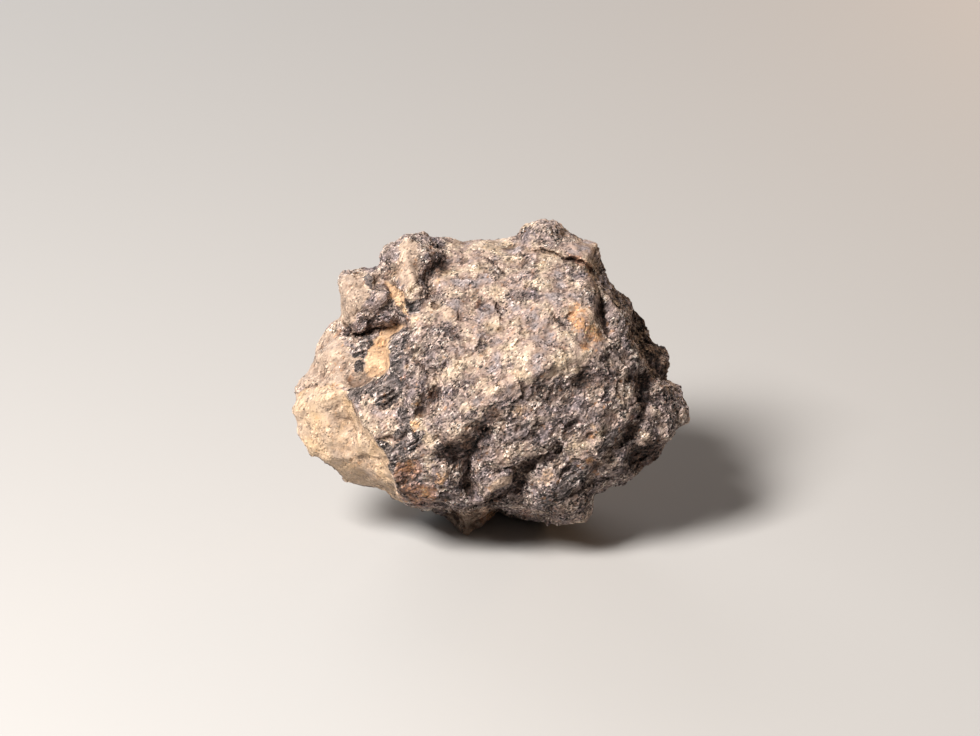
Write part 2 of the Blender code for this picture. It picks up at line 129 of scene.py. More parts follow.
# %% [markdown]
# ## Small tools
# Carving here is arithmetic on all points at once. `smoothed_by` relaxes a surface, `line_near` tells how
# far each point is from a line drawn on the front, on which side of it and how near its ends, `patch` tells
# how much a point is inside an outline, `spot` does so for a round spot, and `lumps` is layered noise. Lines
# and outlines wander a little, since nothing on a broken stone is straight. The noise has a fixed seed, so
# that every run makes the same stone.

# %% Reading and moving points


def triples(items, name):
    """A property of three numbers, read from every item into rows."""
    flat = np.empty(len(items) * 3, np.float32)
    items.foreach_get(name, flat)
    return flat.reshape(-1, 3).astype(float)


def points_of(mesh):
    return triples(mesh.vertices, "co")


def normals_of(mesh):
    return triples(mesh.vertex_normals, "vector")


def move_points(mesh, points):
    mesh.vertices.foreach_set("co", points.astype(np.float32).ravel())
    mesh.update()


def smoothed_by(mesh, rows, rounds):
    """Rows of three numbers, one for each point, after each became the mean of its neighbours' this often."""
    ends = np.empty(len(mesh.edges) * 2, np.int32)
    mesh.edges.foreach_get("vertices", ends)
    a, b = ends.reshape(-1, 2).T
    degree = np.bincount(a, minlength=len(rows)) + np.bincount(b, minlength=len(rows))
    for _ in range(rounds):
        total = np.stack([
            np.bincount(a, rows[b, axis], len(rows)) + np.bincount(b, rows[a, axis], len(rows))
            for axis in range(3)
        ], axis=1)
        rows = total / degree[:, None]
    return rows


def eased(value, start, end):
    """0 up to the start, 1 from the end on, and a smooth rise between them."""
    share = np.clip((value - start) / (end - start), 0.0, 1.0)
    return share * share * (3.0 - 2.0 * share)


# %% Lines and outlines on the front
# mm: the fade at the ends of a line, and at the edge of an outline
LINE_FADE = 1.5
PATCH_EDGE = 0.5


def facing_front(mesh, w, facing, depth):
    """1 where the surface faces the viewer of the front, 0 where it turns away or lies far behind."""
    return eased(normals_of(mesh) @ OUT, *facing) * eased(w, *depth)


def line_near(u, v, line, fade=LINE_FADE):
    """For each point: its distance to the line, its side (1 right, -1 left as the line is walked), and a
    strength that fades to 0 towards the line's two ends."""
    line = np.array(line, float)
    lengths = np.linalg.norm(line[1:] - line[:-1], axis=1)
    walked = np.concatenate([[0.0], np.cumsum(lengths)])
    gap, side, along = (np.full(len(u), value) for value in (math.inf, 1.0, 0.0))
    for start, end, length, before in zip(line[:-1], line[1:], lengths, walked):
        run = (end - start) / length
        away_u, away_v = u - start[0], v - start[1]
        share = np.clip(away_u * run[0] + away_v * run[1], 0.0, length)
        distance = np.hypot(away_u - share * run[0], away_v - share * run[1])
        nearer = distance < gap
        gap = np.where(nearer, distance, gap)
        side = np.where(nearer, np.sign(away_u * run[1] - away_v * run[0]), side)
        along = np.where(nearer, before + share, along)
    fade = min(fade, walked[-1] / 2)
    return gap, side, eased(along, 0.0, fade) * eased(walked[-1] - along, 0.0, fade)


def patch(u, v, outline, soft=PATCH_EDGE):
    """1 inside an outline drawn on the front, 0 outside it, fading over soft millimetres to each side."""
    inside = np.zeros(len(u), bool)
    gap = np.full(len(u), math.inf)
    for (u0, v0), (u1, v1) in zip(outline, outline[1:] + outline[:1]):
        crossing = (v0 > v) != (v1 > v)
        with np.errstate(divide="ignore", invalid="ignore"):
            inside ^= crossing & (u < (u1 - u0) * (v - v0) / (v1 - v0) + u0)
        length2 = (u1 - u0) ** 2 + (v1 - v0) ** 2
        share = np.clip(((u - u0) * (u1 - u0) + (v - v0) * (v1 - v0)) / length2, 0.0, 1.0)
        gap = np.minimum(gap, np.hypot(u - u0 - share * (u1 - u0), v - v0 - share * (v1 - v0)))
    return eased(np.where(inside, gap, -gap), -soft, soft)


def spot(u, v, place, radius):
    """1 in the middle of a round spot on the front, fading to 0 just past its radius."""
    return np.exp(-(((u - place[0]) ** 2 + (v - place[1]) ** 2) / radius ** 2) ** 1.5)


# %% Noise
NOISE_SEED = 2
# how far apart the noises of two seeds are read, how fast finer lumps weaken, how much finer each octave is
SEED_STEPS = (7.1, 3.7, 5.3)
WEAKENING = 0.9
FINER = 2.1


def lumps(points, size, seed, octaves=3):
    """Layered noise between about -1 and 1; the widest lumps are about size millimetres across."""
    shift = Vector([seed * step for step in SEED_STEPS])
    scaled = points * (1000 / size)
    return np.array([noise.fractal(Vector(p) + shift, WEAKENING, FINER, octaves) for p in scaled])


noise.seed_set(NOISE_SEED)
print("seed of the noise:", NOISE_SEED)

# %% [markdown]
# ## The outline
# The outline is what the eye checks first. The solid's outline is good to about half a millimetre. Here its
# rim is pulled to a closer reading, walked clockwise from the left end. The pull fades out inside the rim,
# and it is smoothed, so that it leaves no folds. Near the ground it moves points along the ground instead of
# up the picture, so the foot stays flat. Roughening moves the rim again, so a second fit follows it.

# %% Fit the outline
OUTLINE = (
    (-32.4, -5.3), (-32.0, -3.5), (-32.1, -2.0), (-31.2, -0.2), (-30.0, 1.2), (-29.3, 2.4), (-28.2, 6.0),
    (-27.2, 7.8), (-26.0, 9.2), (-24.8, 10.2), (-24.6, 11.4), (-24.8, 13.5), (-25.1, 15.0), (-24.9, 16.3),
    (-24.2, 17.3), (-23.0, 17.8), (-21.5, 18.05), (-19.5, 18.1), (-18.4, 19.0), (-18.0, 20.3),
    (-17.4, 21.5), (-16.3, 22.2), (-15.0, 22.6), (-14.0, 23.4), (-12.6, 23.6), (-10.9, 23.9), (-9.8, 23.3),
    (-7.0, 23.0), (-4.4, 22.4), (-2.0, 22.7), (1.0, 22.7), (2.5, 23.0), (4.0, 23.6), (4.8, 24.1),
    (5.5, 25.0), (6.5, 25.5), (8.0, 25.9), (9.5, 26.0), (10.7, 25.8), (11.6, 25.2), (12.3, 24.4),
    (13.6, 23.7), (15.0, 22.9), (16.8, 22.3), (17.7, 21.6), (18.0, 20.4), (18.3, 19.2), (19.1, 17.4),
    (19.6, 16.0), (20.5, 15.0), (22.0, 13.8), (23.2, 12.6), (24.0, 11.2), (25.0, 9.9), (25.9, 8.7),
    (26.3, 7.3), (27.2, 6.0), (28.5, 5.0), (29.3, 4.1), (29.6, 3.2), (29.4, 2.0), (29.5, 0.3), (30.0, -0.8),
    (31.2, -1.5), (31.6, -2.6), (32.0, -4.0), (32.6, -6.2), (32.3, -7.4), (31.5, -8.0), (30.6, -8.9),
    (28.8, -10.9), (27.6, -13.2), (26.8, -14.0), (25.4, -14.8), (24.4, -16.0), (22.0, -17.8), (20.0, -18.1),
    (18.6, -18.9), (17.4, -19.5), (17.0, -21.6), (16.4, -22.8), (15.6, -23.7), (14.0, -24.0), (11.0, -24.4),
    (7.5, -23.9), (4.0, -23.4), (1.3, -22.6), (0.0, -23.7), (-1.5, -24.9), (-2.8, -25.4), (-3.7, -26.0),
    (-4.6, -25.8), (-6.3, -24.4), (-7.5, -23.4), (-9.5, -22.5), (-12.5, -21.5), (-16.0, -19.9),
    (-17.2, -18.9), (-19.0, -18.2), (-21.0, -18.0), (-22.5, -17.5), (-24.0, -16.9), (-25.2, -15.6),
    (-26.2, -14.6), (-28.0, -13.6), (-29.6, -12.5), (-30.3, -11.3), (-31.0, -10.0), (-31.6, -8.8),
    (-31.7, -7.5), (-32.0, -6.5),
)
DIRECTIONS = 360
RIM_BLUR = (1, 2, 3, 4, 3, 2, 1)
# shares of the way to the rim: where the pull starts, and what counts as on the rim
PULL_FROM = 0.86
ON_RIM = 0.995
PULL_SMOOTHING = 4
# metres above the ground up to which points stay at their height
NEAR_GROUND = 0.005


def fit_outline(mesh):
    """Pulls the rim, as seen from the front, onto OUTLINE and tells how far it was off."""
    points = points_of(mesh)
    u, v, _ = front_of(points)
    turn, reach = np.arctan2(v, u), np.hypot(u, v)
    sector = ((turn / math.tau + 0.5) * DIRECTIONS).astype(int) % DIRECTIONS
    rim = np.zeros(DIRECTIONS)
    np.maximum.at(rim, sector, reach)
    rim = np.maximum(rim, (np.roll(rim, 1) + np.roll(rim, -1)) / 2)
    half = len(RIM_BLUR) // 2
    rim = sum(weight * np.roll(rim, k - half) for k, weight in enumerate(RIM_BLUR)) / sum(RIM_BLUR)
    middles = ((np.arange(DIRECTIONS) + 0.5) / DIRECTIONS - 0.5) * math.tau
    rim_now = np.interp(turn, middles, rim, period=math.tau)
    drawn = sorted((math.atan2(b, a), math.hypot(a, b)) for a, b in OUTLINE)
    rim_drawn = np.interp(turn, *zip(*drawn), period=math.tau)
    pull = eased(reach / rim_now, PULL_FROM, 1.0) * (rim_drawn / rim_now - 1.0) / 1000
    near_ground = 1.0 - eased(points[:, 2], 0.0, NEAR_GROUND)
    shift = np.outer(pull * u, RIGHT) + np.outer(pull * v * (1.0 - near_ground), UP)
    shift[:, 1] += pull * v * near_ground / UP[1]
    points = points + smoothed_by(mesh, shift, PULL_SMOOTHING)
    points[:, 2] = np.maximum(points[:, 2], 0.0)
    move_points(mesh, points)
    off = np.abs(rim_drawn - rim_now)[reach > rim_now * ON_RIM]
    print("outline was off by, mm: mean", off.mean().round(2), "most", off.max().round(2))


fit_outline(stone_mesh)

# %% [markdown]
# ## Steps, cracks and knobs
# These are the forms that make this stone this stone: brinks where the dark skin ends above the tan break,
# the undercut below the left knob, gullies, cracks and a few beads. A step is a line with its low ground on
# the right as it is walked, so a list of steps reads like a route, and a drop below zero raises that side.

# %% Steps
# name: line, drop, a third of the way in which the low ground rises back, half-width of the brink
STEPS = {
    "skin above the left face": (((-13.4, 8.7), (-14.4, 8.1), (-15.6, 7.0), (-16.4, 5.8), (-16.7, 5.0),
        (-16.4, 3.8), (-16.3, 2.4), (-16.8, 1.0), (-17.4, 0.3), (-18.8, -0.3), (-19.6, -1.0), (-21.4, -1.6),
        (-24.0, -2.3)), 0.8, 1.0, 0.22),
    "skin above the break": (((-23.8, -1.6), (-23.3, -3.0), (-22.2, -5.2), (-21.2, -7.0), (-20.6, -8.0),
        (-18.9, -10.2), (-17.2, -12.2), (-16.6, -14.8), (-16.0, -17.2), (-15.2, -18.6), (-14.0, -21.0)),
        0.8, 3.0, 0.22),
    "sliver on the break": (((-23.4, -3.6), (-23.2, -6.6), (-22.9, -7.8), (-22.2, -9.0), (-21.8, -10.4),
        (-21.4, -11.4), (-20.6, -12.3), (-19.8, -12.9), (-18.4, -13.4), (-16.8, -14.2)), 0.65, 1.4, 0.15),
    "under the left knob": (((-24.6, 6.6), (-23.4, 6.7), (-22.0, 7.4), (-20.0, 8.0), (-17.0, 8.6),
        (-15.0, 9.4), (-13.4, 10.4)), 0.7, 0.8, 0.3),
    "lower corner of the upper knob": (((-12.9, 10.4), (-13.6, 12.0), (-13.8, 13.4), (-14.2, 14.6),
        (-15.0, 15.4), (-17.0, 16.3)), -0.6, 1.4, 0.25),
    "right side of the upper knob": (((-8.4, 22.6), (-9.0, 19.6), (-10.6, 17.8), (-10.9, 15.6),
        (-11.2, 12.8), (-11.0, 10.8)), -0.2, 1.6, 0.4),
    "lip of the upper knob": (((-14.2, 14.6), (-12.8, 14.3), (-11.4, 14.7)), 0.4, 0.8, 0.2),
    "brow": (((-9.0, -10.4), (-7.0, -10.2), (-5.0, -10.2), (-2.8, -8.8), (-1.6, -6.4), (0.0, -4.0),
        (2.2, -3.2), (4.2, -2.8), (5.2, -1.8), (6.8, -1.4), (8.4, -0.9), (10.0, -0.1), (12.8, 0.7),
        (16.0, 2.2), (18.4, 3.0)), 0.45, 6.0, 1.6),
    "second ridge": (((-1.2, -20.8), (0.0, -19.2), (1.0, -18.3), (2.4, -17.9), (3.0, -17.0), (3.4, -15.4),
        (3.8, -14.1), (5.8, -13.5), (8.0, -12.6), (9.6, -11.6), (10.4, -10.2), (12.0, -8.8)), 1.0, 0.9,
        0.2),
    "under the nose": (((-1.8, -20.8), (-0.6, -19.4), (0.6, -18.5), (2.8, -17.9), (3.3, -16.0)), 1.6, 2.0,
        0.2),
    "rim over the toe": (((-10.4, -23.2), (-8.4, -22.5), (-6.2, -21.9), (-4.0, -21.6), (-2.0, -20.9),
        (-0.4, -19.9), (0.8, -19.0)), 0.8, 8.0, 0.25),
    "right lobe's lower edge": (((22.6, -10.2), (24.6, -11.0), (26.0, -10.9), (27.0, -10.3), (28.4, -10.0),
        (29.6, -9.5), (31.0, -8.4)), 2.0, 4.0, 0.22),
    "small lobe's right edge": (((20.6, -17.4), (21.3, -15.6), (21.9, -14.0), (22.4, -12.4), (22.7, -10.6)),
        1.4, 4.0, 0.25),
    "right shelf": (((27.8, 0.0), (25.6, 1.9), (24.3, 3.4), (23.3, 5.4), (22.8, 7.4), (22.3, 9.2),
        (21.5, 10.9), (20.1, 12.8), (18.9, 14.8)), 1.6, 8.0, 0.25),
    "far ledge on the right": (((26.6, 4.2), (25.4, 6.6), (24.4, 9.0), (23.0, 11.4)), 0.5, 6.0, 0.3),
    "under the hump": (((4.4, 21.5), (6.2, 21.2), (6.9, 20.7), (8.2, 20.9), (9.8, 20.5), (11.0, 19.9),
        (12.0, 19.4), (13.4, 19.4), (14.6, 18.8), (16.0, 18.0), (18.6, 16.4)), 0.45, 1.2, 0.18),
    "right of the bead": (((-5.7, 12.2), (-5.2, 10.8), (-5.5, 9.6), (-6.8, 8.8)), -0.45, 0.8, 0.2),
    "dark patch above the middle": (((8.9, 12.2), (8.4, 13.3), (7.0, 14.1), (5.8, 14.7), (4.0, 14.5),
        (3.0, 14.0)), -0.3, 1.2, 0.2),
}
print("steps:", len(STEPS))

# %% Cracks and gullies
# name: line, depth, half-width
GROOVES = {
    "crease under the left knob": (((-23.8, 6.2), (-22.0, 7.1), (-20.0, 7.6), (-17.0, 8.1), (-13.6, 9.8)),
        0.7, 0.4),
    "beside the upper knob": (((-7.0, 18.8), (-9.6, 17.6), (-10.5, 15.8), (-10.8, 14.0), (-11.4, 12.0)),
        0.15, 0.4),
    "behind the dark lump": (((-19.8, 13.2), (-18.8, 14.4), (-17.2, 14.7), (-16.1, 13.8), (-15.8, 12.2)),
        0.35, 0.3),
    "beside the ear": (((-19.4, 17.4), (-19.0, 15.8), (-19.5, 13.8)), 0.6, 0.35),
    "notch floor": (((-9.4, -0.4), (-9.4, -2.6), (-9.8, -3.9), (-11.0, -4.7)), 0.3, 0.9),
    "brown fold": (((-12.6, 2.6), (-11.0, 1.4), (-9.8, 0.4), (-8.6, -0.6), (-8.4, -2.0)), 0.35, 0.4),
    "red notch": (((-16.4, -17.0), (-14.8, -16.9), (-13.6, -16.5), (-12.0, -16.0)), 0.8, 0.45),
    "upper crack": (((0.0, 12.2), (0.9, 12.0), (1.4, 11.0), (1.7, 10.0), (1.9, 9.0), (2.2, 8.0)), 1.0,
        0.26),
    "upper crack's tail": (((2.4, 8.2), (1.6, 7.7), (0.9, 7.2)), 0.35, 0.18),
    "upper crack's branch": (((1.8, 9.4), (2.4, 8.8), (3.2, 8.4)), 0.3, 0.18),
    "top crack": (((-2.2, 20.2), (-1.0, 19.6), (0.2, 19.2), (0.9, 18.5), (2.3, 17.0), (2.9, 16.1)), 0.6,
        0.24),
    "saddle line": (((0.2, 21.1), (2.4, 21.2), (5.0, 21.8), (6.4, 21.2), (7.0, 20.6)), 0.3, 0.25),
    "under the hump": (((7.8, 20.9), (9.8, 20.4), (12.0, 19.3), (13.4, 19.3), (16.0, 17.8), (18.0, 16.6)),
        1.0, 0.28),
    "long scratch": (((9.2, 11.6), (11.0, 9.1), (12.2, 7.6)), 0.4, 0.2),
    "flat scratch": (((3.8, 11.7), (6.2, 11.1)), 0.2, 0.16),
    "corner crack": (((11.7, 9.5), (12.6, 10.2), (13.8, 10.5)), 0.6, 0.24),
    "slate crack": (((13.4, 7.4), (14.2, 6.1), (15.0, 5.4), (16.6, 5.1)), 0.5, 0.3),
    "short crack": (((4.8, 14.3), (5.9, 14.8)), 0.4, 0.25),
    "right groove": (((15.4, 17.8), (16.6, 16.2), (17.4, 14.6), (18.0, 12.4), (18.3, 10.0), (18.6, 8.0),
        (19.2, 6.2)), 0.9, 0.5),
    "right valley": (((24.4, 2.4), (24.7, -0.6), (24.7, -3.6), (24.3, -6.0), (23.2, -8.0), (22.0, -9.2),
        (20.5, -10.3), (18.9, -12.1), (17.2, -13.4), (16.4, -14.6), (17.0, -16.8)), 0.15, 0.9),
    "right valley's bed": (((20.8, -10.0), (19.0, -12.0), (17.4, -13.4)), 0.5, 0.3),
    "second shadow on the right": (((27.0, 1.4), (26.1, 0.0), (25.7, -1.8), (25.4, -3.6)), 0.3, 1.2),
    "terrace crack": (((6.8, -8.9), (7.8, -8.5), (8.6, -7.7)), 0.5, 0.3),
    "terrace break": (((10.4, -4.9), (9.6, -3.6), (10.2, -1.8), (9.2, -1.2)), 0.35, 0.35),
    "gully": (((-3.0, -10.0), (-3.0, -12.4), (-3.6, -15.0), (-3.5, -17.0), (-2.8, -19.0), (-2.4, -20.6)),
        0.75, 1.2),
    "gully's bed": (((-4.6, -14.4), (-4.0, -16.0), (-3.4, -17.6), (-3.0, -19.0)), 0.4, 0.5),
    "gully under the brow": (((-8.6, -11.8), (-6.6, -11.8), (-4.4, -11.2), (-1.8, -9.8), (0.2, -7.2)), 0.8,
        1.5),
    "slit under the nose": (((2.2, -18.2), (0.8, -18.9), (-0.2, -20.0), (-0.8, -21.4)), 0.9, 0.8),
    "streak on the toe 1": (((-2.2, -25.2), (-0.8, -23.4), (0.0, -21.8)), 0.35, 0.25),
    "streak on the toe 2": (((-1.0, -24.6), (0.4, -22.6)), 0.35, 0.2),
    "cleft in the lower lobe": (((10.8, -20.4), (9.4, -21.6), (8.4, -22.4), (7.4, -23.8)), 0.8, 0.45),
    "hollow across the lower lobe": (((17.0, -15.8), (14.6, -17.4), (13.0, -18.7), (10.6, -20.4)), 0.5,
        0.8),
    "left fold": (((3.6, -15.8), (4.4, -17.4), (6.2, -17.0), (5.8, -19.0), (6.4, -21.2)), 0.4, 0.5),
    "slate layer 1": (((-18.4, -4.9), (-16.4, -4.0), (-15.2, -2.9), (-14.2, -2.0)), 0.7, 0.22),
    "slate layer 2": (((-18.2, -3.5), (-16.8, -3.0), (-15.8, -2.2), (-14.8, -1.6)), 0.6, 0.22),
    "slate layer 3": (((-18.0, -5.3), (-16.4, -4.6), (-14.6, -3.3)), 0.55, 0.2),
    "slate layer 4": (((-14.6, -11.8), (-12.6, -10.4), (-10.8, -9.2)), 0.6, 0.22),
    "slate layer 5": (((-14.0, -12.4), (-12.2, -11.2), (-10.8, -10.2)), 0.55, 0.2),
    "slate layer 6": (((-22.6, -3.4), (-21.0, -2.6), (-19.0, -1.7), (-17.4, -0.6)), 0.55, 0.22),
    "dark break": (((-19.4, -10.1), (-17.4, -9.9), (-16.2, -9.2), (-14.8, -9.9), (-13.2, -8.2)), 0.7, 0.4),
    "edge of the skin's rim": (((-13.8, -3.0), (-13.6, -1.0), (-14.0, 0.6), (-13.7, 2.2), (-13.9, 4.4)),
        0.3, 0.25),
    "crack in the break": (((-19.5, -14.1), (-18.9, -14.6), (-18.6, -15.7)), 0.35, 0.18),
    "top edge of the break": (((-31.8, -2.7), (-29.4, -1.5), (-26.4, -1.3), (-23.6, -2.0)), 0.3, 0.25),
    "fold on the crust": (((-7.2, 6.4), (-4.4, 6.0), (-4.0, 4.4), (-4.6, 3.0), (-6.8, 2.6)), 0.2, 0.3),
}
print("cracks and gullies:", len(GROOVES))

# %% Ridges
# name: line, height, half-width
RIDGES = {
    "crest of the brow": (((-4.8, -8.8), (-2.2, -6.4), (-0.8, -4.0), (1.6, -1.8), (4.4, -0.4), (7.2, 0.9),
        (9.8, 1.9), (13.0, 2.8), (17.0, 4.6)), 0.35, 1.3),
    "terrace streak 1": (((11.2, -9.0), (12.6, -6.8), (13.8, -4.8), (15.6, -3.0), (16.4, -1.6)), 0.35, 0.6),
    "terrace streak 2": (((4.2, -8.4), (6.4, -7.2), (9.2, -6.0)), 0.3, 0.6),
    "terrace streak 3": (((1.8, -10.4), (4.6, -9.4), (6.4, -9.6)), 0.25, 0.7),
    "terrace streak 4": (((9.8, -3.4), (11.0, -1.8), (11.4, 0.0)), 0.25, 0.5),
    "terrace streak 5": (((14.8, -8.4), (17.2, -6.6), (19.4, -4.0), (20.4, -1.4)), 0.35, 0.8),
    "over the second ridge": (((1.0, -13.6), (4.4, -12.4), (7.6, -11.4), (9.6, -9.8)), 0.3, 0.8),
    "below the second ridge": (((5.0, -17.4), (6.2, -15.8), (8.8, -14.4), (11.4, -11.8)), 0.9, 1.3),
    "nose of the second ridge": (((0.0, -17.8), (1.4, -17.2), (2.8, -16.4)), 0.45, 0.7),
    "slit below the second ridge": (((6.2, -14.6), (8.8, -12.8), (11.4, -10.6)), 1.0, 0.9),
    "beside the upper knob": (((-7.4, 18.4), (-9.6, 17.0), (-10.4, 14.8), (-10.9, 12.0)), 0.5, 0.8),
    "foot of the right valley": (((21.4, -9.0), (19.2, -11.6), (17.0, -13.4)), 0.6, 1.2),
    "left of the right valley": (((23.4, -0.5), (23.0, -3.6), (22.2, -6.2), (20.6, -8.4), (18.6, -10.6),
        (16.6, -12.8)), 0.7, 0.9),
    "rim of the scarp": (((-13.6, -0.6), (-12.6, -3.4), (-12.4, -5.6)), 0.2, 0.8),
    "left of the gully": (((-7.6, -12.6), (-7.2, -15.4), (-6.4, -18.6)), 0.35, 0.9),
}
print("ridges:", len(RIDGES))

# %% Beads, bumps and pits
# name: place, radius, height
BUMPS = {
    "pale bead": ((-6.9, 10.5), 1.15, 0.9),
    "red bead on the left knob": ((-23.0, 14.8), 0.8, 0.3),
    "ear": ((-19.9, 15.9), 0.9, 0.6),
    "dark lump": ((-17.8, 13.2), 1.2, 0.5),
    "lit bump by the dark pit": ((-8.4, 2.2), 0.8, 0.4),
    "lit tip": ((-7.5, -12.0), 0.5, 0.3),
    "shoulder": ((16.2, 13.8), 1.6, 0.5),
    "rust shoulder": ((15.0, 8.6), 1.6, 0.35),
    "shelf bump": ((20.4, 9.0), 1.2, 0.4),
    "right lobe": ((25.4, -8.8), 1.6, 0.4),
    "lower lobe": ((9.0, -16.6), 2.2, 0.5),
    "terrace lump": ((14.6, -6.4), 1.8, 0.4),
    "terrace lump 2": ((6.8, -5.8), 1.4, 0.3),
    "terrace lump 3": ((18.2, -8.0), 1.4, 0.35),
    "lump over the toe": ((-8.0, -16.4), 1.6, 0.5),
    "lump over the toe 2": ((-6.0, -19.4), 1.4, 0.45),
    "grainy boss": ((-16.8, -7.0), 1.7, 0.35),
    "below the left remnant": ((-21.8, 0.5), 1.5, 0.5),
    "pit by the lit bump": ((-7.0, 1.7), 0.5, -0.6),
    "pit on the upper knob": ((-12.7, 11.8), 0.8, -0.5),
    "small dark pit": ((-9.0, 11.6), 0.5, -0.5),
    "terrace pit": ((15.0, -0.4), 1.4, -1.1),
    "recess under the brow": ((8.4, -2.4), 2.4, -0.6),
    "rust pit": ((16.3, -9.4), 0.5, -0.5),
    "brown pit": ((19.1, -4.0), 0.7, -0.4),
    "pit in the break": ((-22.7, -13.8), 0.35, -0.4),
    "rim pit": ((-2.7, -23.2), 0.9, -0.4),
    "top pit": ((6.6, 17.0), 0.8, -0.3),
    "slate pit": ((13.2, 11.2), 0.7, -0.3),
}
print("beads, bumps and pits:", len(BUMPS))

# %% [markdown]
# ## Worn places
# Wind and water reach some edges of a broken stone more than others and round them off. Those places are
# smoothed before the sharp forms are cut.

# %% Wear them
# name: line, half-width
WORN = {
    "brow": (((-4.0, -9.6), (-1.6, -6.4), (0.0, -4.0), (2.2, -2.6), (5.2, -1.2), (8.4, -0.2), (12.8, 1.2),
        (17.6, 3.0)), 1.6),
    "notch": (((-8.6, 1.0), (-9.6, -1.2), (-10.2, -4.0), (-11.6, -5.8)), 1.6),
    "right valley": (((24.6, 1.6), (24.6, -2.0), (24.4, -5.0), (23.0, -8.0)), 1.4),
    "under the right lobe": (((22.6, -13.6), (24.6, -13.8), (27.0, -12.4)), 2.4),
}
# rounds of smoothing
WEAR = 90
# how far a place faces the viewer and stands out, in mm, where wear starts and where it is full
WORN_FACING = (-0.2, 0.15)
STANDS_OUT = (-18.0, -13.0)


def wear(mesh):
    """Rounds the worn places off and tells how worn each point is."""
    points = points_of(mesh)
    u, v, w = front_of(points)
    worn = np.zeros(len(points))
    for line, half_width in WORN.values():
        gap, _, strength = line_near(u, v, line)
        worn = np.maximum(worn, strength * np.exp(-((gap / half_width) ** 2)))
    worn *= facing_front(mesh, w, WORN_FACING, STANDS_OUT)
    move_points(mesh, points + (smoothed_by(mesh, points, WEAR) - points) * worn[:, None])
    return worn


print("worn share:", wear(stone_mesh).mean().round(3))

# %% [markdown]
# ## Carving
# Everything is cut along the line of sight, which keeps each feature where it was drawn. The high side of a
# step swells a little at its brink, as a skin does that breaks away. Carving fades out at the rim, so the
# outline stays, and its strength varies from place to place, so no step runs evenly.

# %% Carve the front
CARVED_FACING = (-0.1, 0.3)
# mm: the sizes of the bends of a line and how far each moves it
WANDER = ((5.0, 0.7), (1.6, 0.35))
# the swell at a brink as a share of the drop, the most drop that counts for it, and its reach in mm
LIP = 0.4
LIP_MOST = 1.5
LIP_REACH = 1.4
# mm: the fades of carving at the rim and at the ends of a step; metres: the fade above the ground
RIM_FADE = 2.0
STEP_FADE = 2.5
GROUND_FADE = 0.003
# a step's weakest strength, what is added in strong places, their size in mm, and the noise that makes them
WEAKEST = 0.55
STRONGER = 0.6
STRONG_PLACE = 3.5
STRONG_FROM = (-0.4, 0.3)
# the low ground has risen back after this many times the length given with a step
RISEN = 3.0


def carve(mesh):
    """Cuts the steps, cracks and bumps into the side that faces front and tells how deep."""
    points = points_of(mesh)
    u, v, w = front_of(points)
    on_front = facing_front(mesh, w, CARVED_FACING, STANDS_OUT) * eased(points[:, 2], 0.0, GROUND_FADE)
    on_front *= np.clip(2.0 * patch(u, v, OUTLINE, RIM_FADE) - 1.0, 0.0, 1.0)
    for size, far in WANDER:
        stray = np.array([noise.noise_vector(Vector(p) * (1000 / size)) for p in points]) * far
        u, v = u + stray[:, 0], v + stray[:, 1]
    patchy = WEAKEST + STRONGER * eased(lumps(points, STRONG_PLACE, seed=9, octaves=2), *STRONG_FROM)
    sink = np.zeros(len(points))
    for line, drop, reach, brink in STEPS.values():
        gap, side, strength = line_near(u, v, line, STEP_FADE)
        fallen = eased(gap * side, -brink, brink)
        strength *= patchy
        floor_left = 1.0 - eased(gap, 0.0, RISEN * reach)
        swell = LIP * (1.0 - fallen) * 0.5 ** (gap / LIP_REACH)
        sink += strength * (drop * fallen * floor_left - min(drop, LIP_MOST) * swell)
    for lines, sign in ((GROOVES, 1), (RIDGES, -1)):
        for line, size, half_width in lines.values():
            gap, _, strength = line_near(u, v, line)
            sink += sign * size * strength * np.exp(-((gap / half_width) ** 2))
    for place, radius, height in BUMPS.values():
        sink -= height * spot(u, v, place, radius)
    move_points(mesh, points - np.outer(sink * on_front / 1000, OUT))
    return sink * on_front


sunk = carve(stone_mesh)
print("carved, mm: deepest", sunk.max().round(2), "highest", -sunk.min().round(2))
